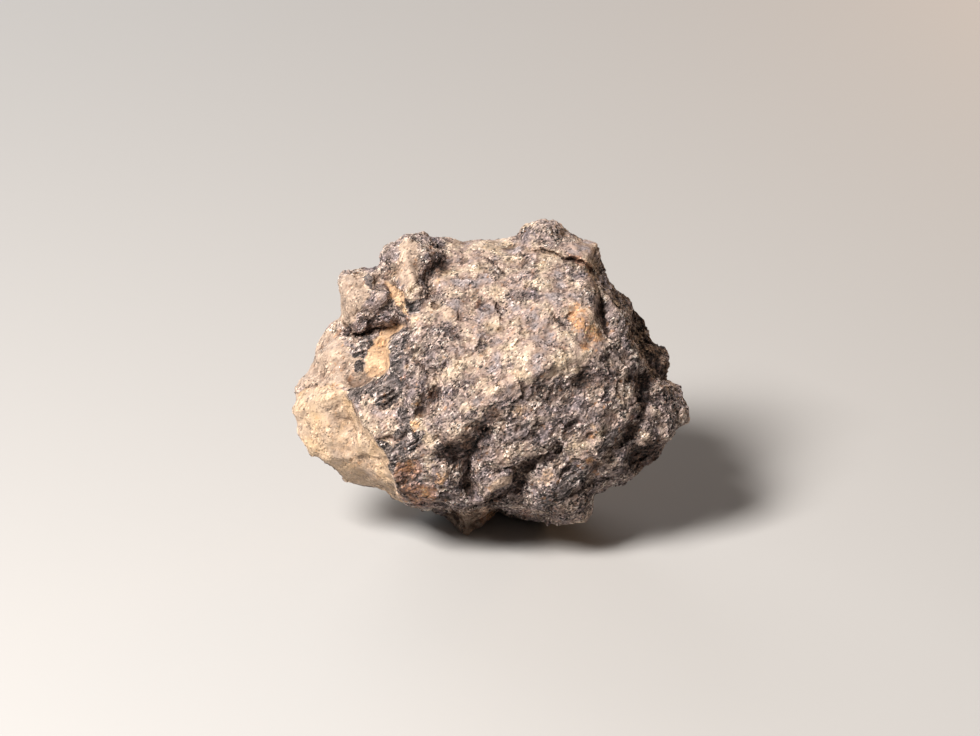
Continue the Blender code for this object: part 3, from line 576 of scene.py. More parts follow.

# %% [markdown]
# ## Zones
# The stone has a few kinds of surface, and each has its own roughness and its own colours: the tan break, a
# dusty face, ochre hollows, layered slate skin, rust, dark crust, orange stains and grime. On the front the
# dark crust is partly painted shade, and the grime is mostly painted shade. Each kind is a number from 0 to 1
# at every point, kept on the mesh so that the material can read it. On the front the kinds are drawn as
# outlines and spots. Elsewhere noise deals out the same kinds.

# %% Outlines of the zones
# where a zone ends at a step, its outline takes the step's own points
TAN = {
    "break": ((-34.0, -2.2), (-31.5, -2.4), (-29.0, -1.5), (-26.0, -1.3), (-23.5, -2.1),
        *STEPS["skin above the break"][0][1:], (-22.0, -21.0), (-30.0, -15.0), (-34.0, -8.0)),
}
DUSTY = {
    "beside the hollow": ((-24.0, 2.0), (-22.6, 3.6), (-20.4, 3.6), (-20.0, 1.0), (-18.6, 0.2),
        (-19.4, -1.1), (-22.6, -1.6), (-24.4, -0.8)),
    "left face": ((-34.0, -1.6), (-32.0, 0.6), (-29.6, 4.0), (-27.6, 8.2), (-25.6, 7.4), (-24.4, 6.0),
        (-22.8, 4.6), (-22.6, 3.2), (-23.8, 1.6), (-22.8, -0.2), (-20.8, -0.8), (-19.4, -1.0),
        (-21.4, -1.6), (-24.0, -1.8)),
    "left knob": ((-25.0, 15.6), (-24.0, 16.6), (-22.4, 16.8), (-20.9, 16.4), (-20.4, 14.8), (-19.8, 13.4),
        (-20.4, 12.0), (-21.4, 10.4), (-22.4, 9.0), (-23.8, 8.2), (-25.0, 9.4), (-25.2, 12.0)),
    "upper knob": ((-14.6, 22.2), (-12.6, 22.6), (-11.8, 21.0), (-11.7, 18.4), (-11.5, 16.4), (-12.2, 15.0),
        (-14.0, 15.0), (-15.4, 15.9), (-15.8, 17.8), (-14.8, 20.0)),
    "nose of the second ridge": ((-0.4, -17.8), (0.8, -16.6), (2.2, -15.8), (3.2, -15.6), (3.2, -16.8),
        (2.2, -17.7), (0.6, -18.4)),
    "toe": ((-7.6, -22.8), (-4.0, -21.8), (-0.6, -21.4), (1.8, -22.2), (0.0, -24.2), (-3.6, -27.0),
        (-6.4, -25.4)),
    "pale bead": ((-8.0, 10.6), (-7.4, 11.6), (-6.4, 11.6), (-5.8, 10.6), (-6.2, 9.6), (-7.4, 9.4)),
}
OCHRE = {
    "left hollow": (*STEPS["skin above the left face"][0][1:8], (-18.0, 0.0), (-19.8, 0.2), (-20.6, 1.6),
        (-20.3, 3.2), (-19.8, 4.6), (-19.0, 5.4), (-19.0, 6.2), (-17.6, 7.6), (-16.0, 8.4), (-14.0, 8.7)),
    "hollow between the knobs": ((-17.4, 15.9), (-16.6, 15.6), (-15.4, 15.0), (-14.4, 14.0), (-13.9, 12.6),
        (-13.5, 11.0), (-13.3, 9.9), (-14.0, 10.4), (-15.0, 11.6), (-15.9, 12.8), (-16.4, 13.9),
        (-17.0, 14.8)),
}
SLATE = {
    "skin by the hollow": ((-23.5, -2.1), (-21.4, -1.6), (-19.6, -1.0), (-18.8, -0.3), (-17.4, 0.3),
        (-16.8, 1.0), (-16.3, 2.4), (-16.7, 5.0), (-15.6, 7.0), (-14.0, 8.4), (-12.8, 7.4), (-13.8, 5.0),
        (-14.2, 2.0), (-13.9, -1.0), (-14.2, -3.2), (-16.0, -4.8), (-18.2, -5.2), (-18.6, -3.4),
        (-20.4, -2.6), (-21.6, -4.4), (-22.6, -4.2)),
    "streaks": ((-15.4, -5.2), (-14.0, -4.6), (-13.2, -6.6), (-12.6, -8.2), (-10.6, -8.8), (-10.8, -10.2),
        (-12.0, -11.8), (-13.4, -12.8), (-15.4, -12.9), (-15.4, -15.4), (-16.0, -17.4), (-16.9, -14.8),
        (-17.2, -12.2), (-19.2, -10.0), (-17.0, -10.2), (-15.8, -11.2), (-14.6, -10.6), (-13.4, -9.6),
        (-16.2, -9.6), (-15.4, -8.4), (-13.8, -7.6), (-14.8, -6.4)),
    "left remnant": ((-22.6, 3.8), (-21.6, 5.6), (-20.6, 7.0), (-18.8, 6.6), (-18.5, 5.2), (-19.6, 4.0),
        (-20.4, 3.2)),
    "left remnant below": ((-22.6, 1.6), (-21.8, 2.8), (-20.4, 3.0), (-20.8, 1.8), (-20.4, 1.1),
        (-21.6, 0.8)),
    "ear": ((-20.9, 16.6), (-19.8, 17.0), (-19.0, 16.2), (-19.2, 14.4), (-19.8, 14.2), (-20.2, 15.2)),
    "under the upper knob": ((-14.0, 13.1), (-12.4, 12.3), (-11.0, 13.0), (-11.2, 10.6), (-13.6, 10.3)),
    "lower lobe": ((11.4, -15.0), (13.8, -14.5), (15.9, -15.4), (14.6, -17.2), (12.8, -18.4), (12.4, -20.0),
        (9.2, -21.5), (7.4, -20.8), (8.2, -19.2), (11.2, -18.4), (10.8, -16.8)),
    "small lobe": ((19.4, -8.4), (21.0, -7.6), (20.6, -10.0), (18.6, -11.8), (17.4, -12.0)),
}
RUST = {
    "patch by the red notch": ((-15.4, -13.8), (-12.2, -13.4), (-10.8, -14.8), (-12.2, -16.2),
        (-15.2, -17.4), (-15.8, -15.6)),
    "below the red notch": ((-15.6, -17.8), (-12.0, -17.0), (-8.8, -17.6), (-9.0, -20.4), (-12.0, -21.2)),
    "in the hump's crack": ((12.8, 20.0), (14.6, 19.7), (17.2, 18.0), (16.8, 17.0), (14.2, 18.2)),
}
# dark crust: on the front partly the crust's own darker colour and partly painted shade, below the brow, on
# the right and low faces turned from the light, and beside the knobs
DARK = {
    "below the brow": ((-9.0, -10.8), (-4.6, -10.0), (-2.4, -7.6), (-1.0, -5.0), (1.6, -3.6), (4.4, -2.8),
        (5.4, -1.8), (8.6, -1.0), (10.2, 0.0), (14.0, 1.0), (18.0, 3.4), (18.8, 6.0), (18.0, 10.0),
        (18.2, 13.0), (17.4, 15.6), (18.0, 22.0), (24.0, 14.0), (34.0, 2.0), (34.0, -9.0), (20.0, -20.0),
        (8.0, -27.0), (-4.0, -28.0), (-10.0, -24.0), (-9.6, -17.0), (-9.4, -13.0)),
    "round the upper knob": ((-18.8, 21.6), (-14.6, 24.2), (-11.0, 25.0), (-7.0, 23.6), (-7.8, 18.6),
        (-9.4, 14.8), (-11.2, 12.4), (-11.0, 17.8), (-11.8, 22.0), (-14.6, 22.6), (-15.4, 20.8),
        (-16.4, 18.4), (-18.6, 18.6)),
    "top of the left knob": ((-26.0, 14.0), (-25.0, 18.6), (-18.6, 19.0), (-16.4, 17.4), (-17.6, 15.8),
        (-19.0, 16.2), (-20.6, 17.2), (-22.6, 17.0), (-24.2, 16.4), (-24.9, 15.0)),
    "bluish on the right": ((11.8, 18.8), (15.4, 18.2), (15.6, 15.2), (13.4, 15.6), (11.8, 17.2)),
    "side of the left knob": ((-25.2, 8.6), (-23.4, 8.4), (-21.6, 10.2), (-20.2, 12.2), (-19.4, 14.0),
        (-17.6, 14.8), (-16.2, 13.8), (-15.8, 12.3), (-14.8, 11.0), (-13.4, 9.7), (-15.0, 8.3),
        (-18.0, 7.3), (-21.6, 6.4), (-24.0, 5.8)),
    "above the middle": ((3.0, 14.2), (5.8, 14.9), (8.2, 13.8), (9.0, 12.2), (5.6, 12.0), (2.4, 12.6)),
    "left edge": ((-14.6, 8.6), (-12.0, 8.0), (-12.6, 2.0), (-10.0, -1.0), (-9.6, -5.0), (-14.0, -7.0),
        (-14.4, 0.0)),
    "low on the left": ((-15.8, -12.8), (-11.0, -12.4), (-9.6, -17.0), (-10.0, -24.0), (-15.0, -22.0),
        (-15.4, -17.0)),
    "side of the hump": ((3.6, 22.4), (5.0, 25.2), (7.4, 24.4), (6.2, 21.4)),
}
# name: outlines, and how far the edge fades in mm
ZONE_OUTLINES = {
    "tan": (TAN, PATCH_EDGE),
    "dusty": (DUSTY, PATCH_EDGE),
    "ochre": (OCHRE, PATCH_EDGE),
    "slate": (SLATE, PATCH_EDGE),
    "rust": (RUST, PATCH_EDGE),
    "dark": (DARK, 1.5),
}
print("outlines:", {name: len(outlines) for name, (outlines, edge) in ZONE_OUTLINES.items()})

# %% Spots
# place, radius
RUST_SPOTS = (
    ((15.0, 9.4), 2.2), ((16.6, 6.6), 1.6), ((-0.6, -23.2), 1.6), ((14.5, 11.6), 0.7), ((14.4, 8.6), 0.7),
    ((15.8, 7.2), 0.9), ((17.8, 6.7), 0.5), ((15.0, 4.9), 0.6), ((16.0, -13.6), 0.7), ((-14.5, -19.5), 0.9),
    ((16.2, -9.3), 0.7), ((5.8, -22.4), 1.0), ((-18.4, -0.6), 0.4), ((19.0, -4.0), 0.5),
    ((22.8, -6.6), 0.7), ((-2.0, 12.0), 0.6), ((-23.1, 14.9), 0.6), ((7.0, 17.0), 0.7), ((-9.8, 21.4), 0.5),
    ((3.6, 7.3), 0.6), ((-14.0, 0.2), 0.5),
)
OCHRE_SPOTS = (
    ((-12.2, -7.6), 1.1), ((-7.6, -16.0), 1.2), ((9.4, -16.0), 1.8), ((4.6, -5.4), 1.5),
    ((14.4, 10.2), 1.4), ((-11.6, -3.9), 0.7), ((-13.4, 1.6), 0.6), ((-19.6, -14.6), 1.2),
    ((1.2, 13.6), 0.9), ((12.8, -13.4), 1.0), ((-8.6, 15.8), 0.9), ((16.4, -7.8), 0.8), ((-12.2, 9.6), 1.0),
    ((-27.0, -7.6), 1.8), ((-24.2, -11.4), 2.4), ((-22.0, -14.2), 2.0), ((-18.6, -16.4), 1.4),
)
# dark spots: partly darker patches of the crust, partly painted shade in the notch, under the brow and on the
# far right layer
DARK_SPOTS = (
    ((-9.8, 1.8), 2.4), ((-8.4, -7.2), 2.6), ((-4.4, -1.0), 1.8), ((-7.2, 7.4), 2.4), ((25.0, 7.0), 3.0),
    ((-6.6, -3.2), 3.0), ((-3.0, -6.4), 1.4), ((-1.6, 5.0), 1.2), ((10.6, 22.8), 2.2), ((8.6, 23.6), 2.6),
    ((-9.4, 5.4), 3.4), ((-8.6, 12.8), 1.6), ((12.6, 23.0), 1.6), ((6.6, 17.0), 1.8), ((-1.4, 11.6), 1.4),
    ((2.0, 10.6), 1.0), ((12.0, 8.8), 1.6), ((0.8, 17.4), 1.2), ((3.2, 1.8), 0.8), ((-7.2, 2.4), 1.2),
    ((-5.4, 6.4), 1.6), ((-20.4, -13.0), 0.6), ((15.8, 13.0), 1.6), ((-10.6, 0.4), 1.2),
)
STAIN_SPOTS = (
    ((14.4, 8.8), 1.1), ((14.3, 11.4), 0.9), ((13.2, 9.8), 1.2), ((16.2, 7.6), 1.3), ((17.4, 6.4), 0.8),
    ((15.4, 4.8), 0.7), ((-17.8, 5.4), 0.8), ((-12.2, -7.6), 0.9), ((-13.0, -14.4), 1.0),
    ((-10.6, -18.6), 1.0), ((16.2, -13.4), 0.7), ((16.4, -9.4), 0.6), ((0.0, -23.2), 1.0),
    ((-12.0, -4.2), 0.6), ((-8.0, -16.4), 0.9),
)
# painted light: lighter spots on slopes that face the light, which take the dark zone and its painted shade
# away there
PAINTED_LIGHT_SPOTS = (
    ((14.4, -11.6), 2.6), ((16.8, -9.2), 2.0), ((2.4, -13.0), 1.8), ((5.4, -11.6), 1.8),
    ((19.4, -6.6), 1.8), ((21.6, -3.0), 1.6), ((25.0, -9.6), 1.4), ((17.2, -14.0), 1.2),
)
# grime and shade spots: mostly painted shade, in gullies, the notch, under the knobs, the brow and the right
# lobe, and on far right faces turned from the light
# place, radius, strength
GRIME_AND_SHADE_SPOTS = (
    ((-14.4, 12.0), 1.8, 0.8), ((17.6, -0.4), 2.4, 0.7), ((-6.4, -11.8), 2.4, 0.9),
    ((-3.4, -11.0), 2.4, 1.0), ((-1.2, -8.4), 2.0, 1.0), ((0.6, -5.6), 1.6, 0.9), ((-5.0, -13.4), 2.0, 0.8),
    ((-5.8, -22.2), 1.3, 0.8), ((-3.0, -21.8), 1.3, 0.8), ((0.2, -21.2), 1.2, 0.8),
    ((-3.2, -15.2), 1.5, 0.8), ((-3.4, -18.2), 1.2, 0.6), ((-9.2, -2.6), 1.6, 0.9), ((-9.6, 5.8), 3.2, 0.3),
    ((24.6, -1.0), 1.7, 1.0), ((24.4, -4.2), 1.6, 1.0), ((22.6, -8.2), 1.3, 0.8), ((28.6, -3.0), 2.8, 0.6),
    ((29.4, -6.0), 2.2, 0.5), ((20.4, -14.6), 2.2, 0.4), ((26.6, 0.4), 1.8, 0.8), ((24.6, 9.6), 2.4, 0.9),
    ((27.4, 5.0), 2.8, 1.0), ((22.4, 12.6), 2.0, 0.8), ((28.8, 1.4), 2.2, 0.9), ((24.0, -13.4), 2.6, 1.0),
    ((26.6, -12.0), 2.2, 1.0), ((14.8, -19.4), 2.8, 0.6), ((10.8, -21.0), 2.4, 0.6),
    ((15.1, -0.3), 1.5, 0.9), ((8.6, -2.6), 2.0, 0.5), ((16.6, 15.0), 1.6, 0.6), ((3.2, -4.2), 1.6, 0.5),
    ((12.6, -2.0), 1.6, 0.4), ((-22.4, 7.6), 1.5, 0.7), ((-17.6, 9.6), 1.6, 0.2), ((4.6, -17.0), 1.4, 0.7),
    ((0.2, -20.0), 1.6, 0.9), ((23.8, 7.0), 2.2, 1.0), ((25.8, 4.6), 2.2, 1.0), ((24.6, -12.6), 1.8, 1.0),
    ((22.8, -12.0), 1.4, 0.8), ((29.6, -8.6), 1.6, 0.4), ((20.4, 12.8), 1.4, 0.5), ((-8.6, 18.2), 2.2, 0.9),
    ((-14.2, -18.6), 2.2, 0.5), ((19.8, 0.4), 2.2, 0.6),
)
# name: spots, strength in their middle
ZONE_SPOTS = {
    "rust": (RUST_SPOTS, 0.7),
    "ochre": (OCHRE_SPOTS, 0.5),
    "dark": (DARK_SPOTS, 0.8),
    "stain": (STAIN_SPOTS, 0.8),
    "grime_and_shade": (GRIME_AND_SHADE_SPOTS, 1.0),
}
print("spots:", {name: len(spots) for name, (spots, strength) in ZONE_SPOTS.items()})

# %% Put the zones on the mesh
# name: size of the lumps in mm, seed, octaves, noise at which the zone starts and is full, strength
ELSEWHERE = {
    "ochre": (5.0, 12, 2, 0.42, 0.6, 0.6),
    "slate": (9.0, 13, 3, 0.12, 0.36, 1.0),
    "rust": (6.0, 14, 3, 0.45, 0.65, 0.8),
    "dark": (12.0, 15, 3, -0.25, 0.05, 1.0),
    "dusty": (7.0, 16, 2, 0.3, 0.5, 1.0),
    "grime_and_shade": (8.0, 18, 3, 0.1, 0.5, 0.7),
    "stain": (3.0, 19, 2, 0.4, 0.6, 0.6),
}
# mm: the size of tan breaks elsewhere and of the bends in their edges; then how strong those bends are
BREAK_SIZE = 16.0
FRAY_SIZE = 2.5
FRAY = 0.12
# the noise at which a break starts and is full, and at which slate thins out and is gone
BREAK_FROM = (0.2, 0.4)
SLATE_UNTIL = (0.18, 0.3)
# mm: the size of the bends of a zone's edge and how far they move it
BEND_SIZE = 0.9
BEND = 0.55
ZONE_FACING = (-0.25, 0.2)
ZONE_STANDS_OUT = (-20.0, -15.0)
# how much of the dark zone, crust colour and painted shade, a painted light spot takes away
PAINTED_LIGHT_CLEARS = 0.8


def strongest(u, v, spots):
    """How much each point is in any of these spots."""
    return np.max([spot(u, v, place, radius) * math.prod(own) for place, radius, *own in spots], axis=0)


def zones_of(mesh):
    """A dict of zone name to a number from 0 to 1 at each point."""
    points = points_of(mesh)
    u, v, w = front_of(points)
    stray = np.array([noise.noise_vector(Vector(p) * 1000 / BEND_SIZE) for p in points]) * BEND
    u, v = u + stray[:, 0], v + stray[:, 1]
    front = facing_front(mesh, w, ZONE_FACING, ZONE_STANDS_OUT)
    drawn = {
        name: np.max([patch(u, v, outline, edge) for outline in outlines.values()], axis=0)
        for name, (outlines, edge) in ZONE_OUTLINES.items()
    }
    for name, (spots, strength) in ZONE_SPOTS.items():
        drawn[name] = np.maximum(drawn.get(name, 0.0), strongest(u, v, spots) * strength)
    drawn["dark"] *= 1.0 - PAINTED_LIGHT_CLEARS * strongest(u, v, PAINTED_LIGHT_SPOTS)
    drawn["slate"] *= 1.0 - np.maximum(drawn["tan"], drawn["ochre"])
    elsewhere = {
        name: eased(lumps(points, size, seed, octaves), start, full) * strength
        for name, (size, seed, octaves, start, full, strength) in ELSEWHERE.items()
    }
    breaks = lumps(points, BREAK_SIZE, seed=11)
    elsewhere["tan"] = eased(breaks + lumps(points, FRAY_SIZE, seed=17) * FRAY, *BREAK_FROM)
    elsewhere["slate"] *= 1.0 - eased(breaks, *SLATE_UNTIL)
    return {name: drawn[name] * front + elsewhere[name] * (1.0 - front) for name in drawn}


zones = zones_of(stone_mesh)
print("share of the surface:", {name: round(float(value.mean()), 2) for name, value in zones.items()})

# %% [markdown]
# ## Broken, grainy relief
# A weathered chondrite isn't bumpy like an orange. It breaks around its grains, so small flat pieces meet at
# sharp edges. Noise of cells does that: each point finds the nearest of many seeds and takes a height from a
# plane that its cell tips at random. Three sizes of cells are laid over each other. The tan break is calmer.

# %% Roughen
# size of a cell, its height where the stone is pale, its height where it is dark, seed
CELLS = ((3.4, 0.16, 0.36, 21), (1.6, 0.07, 0.24, 22), (0.85, 0.05, 0.16, 23))
CALM = {"tan": 0.7, "ochre": 0.8, "dusty": 0.3}
# the direction in which grains run and how much longer they are along it
GRAIN = np.array((0.71, 0.30, 0.64))
STRETCH = 0.5
# in cells: how fine and how far their edges bend; then how much a cell leans and stands out or in
CELL_BENDS = 1.7
CELL_BEND = 0.3
CELL_LEAN = 1.2
CELL_STEP = 0.35
CELL_SEED_STEPS = (3.1, 1.7, 2.3)
# spreads the cells' middles over the noise, so that each looks up a lean and a step of its own
LEAN_SPREAD = 5.0
STEP_SPREAD = 9.0
# mm: the size and height of broad swells, and how far the tan break lies deeper
SWELL_SIZE = 5.0
SWELL = 0.25
SUNK = 0.25
# metres above the ground in which the relief fades out
FOOT_CLEAR = 0.0012


def tipped_cells(points, size, seed):
    """Heights between about -1 and 1 of flat cells that each lean their own way."""
    shift = Vector([seed * step for step in CELL_SEED_STEPS])
    heights = np.empty(len(points))
    for i, point in enumerate(points * (1000 / size)):
        here = Vector(point) + shift
        here += noise.noise_vector(here * CELL_BENDS) * CELL_BEND
        middle = noise.voronoi(here)[1][0]
        lean = (here - middle).dot(noise.cell_vector(middle * LEAN_SPREAD))
        heights[i] = lean * CELL_LEAN + noise.cell(middle * STEP_SPREAD) * CELL_STEP
    return heights


def roughen(mesh, zones):
    """Raises and sinks the surface along its normals by every size of cell."""
    points = points_of(mesh)
    streaked = points - np.outer(points @ GRAIN, GRAIN) * STRETCH
    calm = np.max([zones[name] * share for name, share in CALM.items()], axis=0)
    height = lumps(points, SWELL_SIZE, seed=20) * SWELL
    for size, tall_on_pale, tall_on_dark, seed in CELLS:
        tall = tall_on_pale + (tall_on_dark - tall_on_pale) * zones["dark"]
        height += tipped_cells(streaked, size, seed) * tall
    height = height * (1.0 - calm) - SUNK * zones["tan"]
    height *= eased(points[:, 2], 0.0, FOOT_CLEAR)
    points = points + normals_of(mesh) * (height / 1000)[:, None]
    points[:, 2] = np.maximum(points[:, 2], 0.0)
    move_points(mesh, points)
    return height


height = roughen(stone_mesh, zones)
print("relief, mm:", height.min().round(2), "to", height.max().round(2))
fit_outline(stone_mesh)

# %% [markdown]
# ## Hollows and crests
# The material makes the hollows of the stone darker, and hands and weather rub its crests pale. Where is a
# hollow?
# Compare each point with a smoothed copy of the surface: below it is a hollow, above it is a crest.

# %% Measure how hollow each point is
# rounds of smoothing, and the depth in mm that counts as quite hollow
PIT = (4, 0.09)
HOLLOW = (40, 0.45)


def hollowness(mesh, rounds, depth):
    """1 in a hollow as deep as depth millimetres, 0 on a level place and -1 on such a crest."""
    points = points_of(mesh)
    below = ((smoothed_by(mesh, points, rounds) - points) * normals_of(mesh)).sum(1) * 1000
    return np.clip(below / depth, -1.0, 1.0)


zones["pit"] = hollowness(stone_mesh, *PIT)
zones["hollow"] = hollowness(stone_mesh, *HOLLOW)
for name, value in zones.items():
    stone_mesh.attributes.new(name, "FLOAT", "POINT").data.foreach_set("value", value.astype(np.float32))
print("attributes:", [attribute.name for attribute in stone_mesh.attributes])

# %% [markdown]
# ## The stone's stuff
# Up close the stone is a mosaic: dark grains, grey-brown, beige and cream ones, each a fraction of a
# millimetre across. Voronoi cells with a random colour each are such a mosaic, and a ramp turns the random
# number into how bright a grain is. Each cell also leans its own way, so light sparkles from grain to grain
# as it does from crystals. The zones give the mosaic its colours and its contrast, and hollows and painted
# shade darken it.

# %% A small kit for node materials
# patterns are laid out in millimetres
MM = 1000.0
stuff = bpy.data.materials.new("chondrite")
stuff.use_nodes = True
tree = stuff.node_tree
tree.nodes.clear()


def put(socket, value):
    """Gives an input a value, or links another node's output to it."""
    if isinstance(value, bpy.types.NodeSocket):
        tree.links.new(value, socket)
    else:
        socket.default_value = value


def node(kind, inputs, **settings):
    """A new shader node with its settings and its inputs, by their names or places."""
    made = tree.nodes.new("ShaderNode" + kind)
    for name, value in settings.items():
        setattr(made, name, value)
    for name, value in inputs.items():
        put(made.inputs[name], value)
    return made


def maths(operation, a, b=0.0):
    return node("Math", {0: a, 1: b}, operation=operation).outputs[0]


def vector_maths(operation, a, b=(0.0, 0.0, 0.0)):
    made = node("VectorMath", {0: a, 1: b}, operation=operation)
    return made.outputs["Value" if operation == "DOT_PRODUCT" else "Vector"]


def scaled(vector, factor):
    return node("VectorMath", {0: vector, "Scale": factor}, operation="SCALE").outputs["Vector"]


def squeezed(at, direction, share):
    """Places pressed together along a direction; a pattern laid over them is drawn out along it."""
    along = maths("MULTIPLY", vector_maths("DOT_PRODUCT", at, tuple(direction)), -share)
    return vector_maths("ADD", at, scaled(tuple(direction), along))


def mixed(share, a, b, blend="MIX"):
    return node("Mix", {0: share, 6: a, 7: b}, data_type="RGBA", blend_type=blend).outputs[2]


def mixed_number(share, a, b):
    return node("Mix", {0: share, 2: a, 3: b}, data_type="FLOAT").outputs[0]


def between(value, start, end, low=0.0, high=1.0):
    """Runs from low to high as the value runs from start to end, and stays there."""
    inputs = {"Value": value, "From Min": start, "From Max": end, "To Min": low, "To Max": high}
    return node("MapRange", inputs, interpolation_type="SMOOTHSTEP").outputs["Result"]


def attribute(name):
    return node("Attribute", {}, attribute_name=name).outputs["Fac"]


def ramp(value, *stops):
    """Colours along a value, each stop its place and its colour."""
    made = node("ValToRGB", {"Fac": value})
    line = made.color_ramp.elements
    while len(line) < len(stops):
        line.new(0.5)
    for element, (place, colour) in zip(line, stops):
        element.position = place
        element.color = (*colour, 1.0)
    return made.outputs["Color"]


def greys(value, *stops):
    """Greys along a value, each stop its place and its brightness."""
    return ramp(value, *((at, (grey,) * 3) for at, grey in stops))


# %% Grains
CRUMBS_PER_MM = 1.9
SPECKS_PER_MM = 4.6
# share by which the specks are drawn out along the grain, and the layers along their own direction
SPECK_STRETCH = 0.7 * STRETCH
LAYERING = 0.88 * RIGHT + 0.47 * UP
LAYER_STRETCH = 0.85

place = node("TexCoord", {}).outputs["Object"]
place = node("Mapping", {"Vector": place, "Scale": (MM, MM, MM)}).outputs["Vector"]
streaked = squeezed(place, GRAIN, SPECK_STRETCH)


def cloud(per_mm, octaves=3.0, at=place):
    """Soft noise around 0.5, this many lumps to the millimetre."""
    return node("TexNoise", {"Vector": at, "Scale": per_mm, "Detail": octaves}).outputs["Fac"]


def mosaic(per_mm):
    """A random colour for each grain, this many grains to the millimetre, and its three numbers."""
    colours = node("TexVoronoi", {"Vector": streaked, "Scale": per_mm}).outputs["Color"]
    split = node("SeparateColor", {"Color": colours})
    return colours, (split.outputs[0], split.outputs[1], split.outputs[2])


crumb_colours, crumb = mosaic(CRUMBS_PER_MM)
speck_colours, speck = mosaic(SPECKS_PER_MM)
layered = cloud(1.7, 3.0, squeezed(place, LAYERING, LAYER_STRETCH))
ragged = cloud(1.6, 4.0)
fray = maths("SUBTRACT", ragged, 0.5)


def zone(name, spread, edge):
    """The zone from 0 to 1 with its edge broken up by noise."""
    value = maths("ADD", attribute(name), maths("MULTIPLY", fray, spread * 2))
    return between(value, 0.5 - edge, 0.5 + edge)


# %% [markdown]
# ## The colours of the zones
# Under a lens no part of the stone has one colour: the crust drifts from dark grey to brown, the pale stone
# from lavender to cream. So the main kinds of stone get soft noise run through a ramp of their own. The
# zones are laid over each other in turn, and each brings how strongly its grains differ: much in the crust,
# little in the tan break.

# %% Base colours
# where on the noise the three colours of a zone lie
TONE_PLACES = (0.34, 0.5, 0.66)
LAVENDER = (0.26, 0.215, 0.21)
PINKISH = (0.31, 0.22, 0.18)
CREAM = (0.43, 0.33, 0.255)
YELLOWISH = (0.45, 0.335, 0.235)
SLATE_GREY = (0.125, 0.103, 0.1, 1.0)
OCHRE_YELLOW = (0.52, 0.34, 0.205, 1.0)
RUST_RED = (0.25, 0.12, 0.08, 1.0)
ORANGE = (0.58, 0.30, 0.13, 1.0)


def tones(per_mm, octaves, *colours):
    """A colour that drifts between three."""
    return ramp(cloud(per_mm, octaves), *zip(TONE_PLACES, colours))


pale = ramp(cloud(0.33, 4.0), (0.34, LAVENDER), (0.46, PINKISH), (0.56, CREAM), (0.68, YELLOWISH))
# the dark crust's colours; where the dark zone is drawn on the front they also stand in for painted shade
dark = tones(0.4, 4.0, (0.15, 0.12, 0.125), (0.235, 0.18, 0.165), (0.36, 0.275, 0.225))
dusty = tones(0.4, 4.0, (0.29, 0.215, 0.165), (0.35, 0.255, 0.195), (0.43, 0.32, 0.24))
tan = tones(0.25, 5.0, (0.37, 0.275, 0.21), (0.465, 0.335, 0.23), (0.50, 0.345, 0.21))
base = pale
contrast = 1.4
covers = {}
# zone: how ragged its edge is, how soft, how much it covers, its colour, the contrast of its grains
for name, spread, edge, share, colour, its_contrast in (
    ("dark", 0.8, 0.35, 1.0, dark, 2.5),
    ("dusty", 0.5, 0.2, 0.95, dusty, 0.75),
    ("slate", 0.7, 0.08, 0.9, SLATE_GREY, 2.6),
    ("tan", 0.25, 0.08, 1.0, tan, 0.65),
    ("ochre", 0.3, 0.25, 0.95, OCHRE_YELLOW, 0.6),
    ("rust", 1.0, 0.4, 0.6, RUST_RED, 1.6),
    ("stain", 1.0, 0.3, 0.6, ORANGE, 1.6),
):
    covers[name] = maths("MULTIPLY", zone(name, spread, edge), share)
    base = mixed(covers[name], base, colour)
    contrast = mixed_number(covers[name], contrast, its_contrast)

# %% Grain over base
# grain and lump are each about a half on the whole, so this many times both is about 1
GAIN = 4.0
BRIGHTEST = (0.85, 0.76, 0.68)
ORANGE_GRAIN = (0.45, 0.22, 0.10, 1.0)
grain = greys(speck[0], (0.0, 0.14), (0.12, 0.24), (0.2, 0.44), (0.8, 0.55), (0.9, 0.74), (1.0, 0.9))
lump = greys(crumb[0], (0.0, 0.30), (0.2, 0.43), (0.8, 0.54), (1.0, 0.72))
both = maths("MULTIPLY", maths("MULTIPLY", grain, GAIN), lump)
# slate is banded by its layers
layers = maths("MULTIPLY", covers["slate"], maths("SUBTRACT", between(layered, 0.4, 0.62), 0.4))
both = maths("MULTIPLY", both, maths("ADD", 1.0, maths("MULTIPLY", layers, 0.6)))
# grime and painted shade deepen the contrast, and it drifts from place to place
grime_and_shade = attribute("grime_and_shade")
contrast = maths("ADD", contrast, grime_and_shade)
contrast = maths("MULTIPLY", contrast, between(cloud(0.45), 0.38, 0.62, 0.55, 1.35))
colour = vector_maths("MINIMUM", scaled(base, maths("POWER", both, contrast)), BRIGHTEST)
# some crumbs are orange, and more of them where the stone is rusty
rusty = attribute("rust")
orange = maths("GREATER_THAN", crumb[1], maths("SUBTRACT", 0.95, maths("MULTIPLY", rusty, 0.28)))
orange = maths("MULTIPLY", orange, maths("MAXIMUM", between(cloud(0.5), 0.52, 0.62), rusty))
colour = mixed(maths("MULTIPLY", orange, 0.45), colour, ORANGE_GRAIN)

# %% [markdown]
# ## Darkened hollows, painted shade and rubbed crests
# Small pits and wide hollows are made darker and browner, and so is the grime-and-shade zone, which is mostly
# painted shade with some grime; crests are rubbed a little paler. The clean, freshly broken tan and ochre
# stone takes less of the darkening. Multiplying keeps the grains visible through it.

# %% Darker hollows, painted shade, pale crests
HOLLOW_BROWN = (0.30, 0.22, 0.17, 1.0)
# painted shade, with some grime: the brown laid on the grime-and-shade zone
SHADE_AND_GRIME_BROWN = (0.29, 0.21, 0.17, 1.0)
RUBBED = (1.0, 0.95, 0.88, 1.0)
pit = attribute("pit")
clean = maths("MAXIMUM", covers["tan"], covers["ochre"])
darkening = between(clean, 0.0, 1.0, 1.0, 0.35)
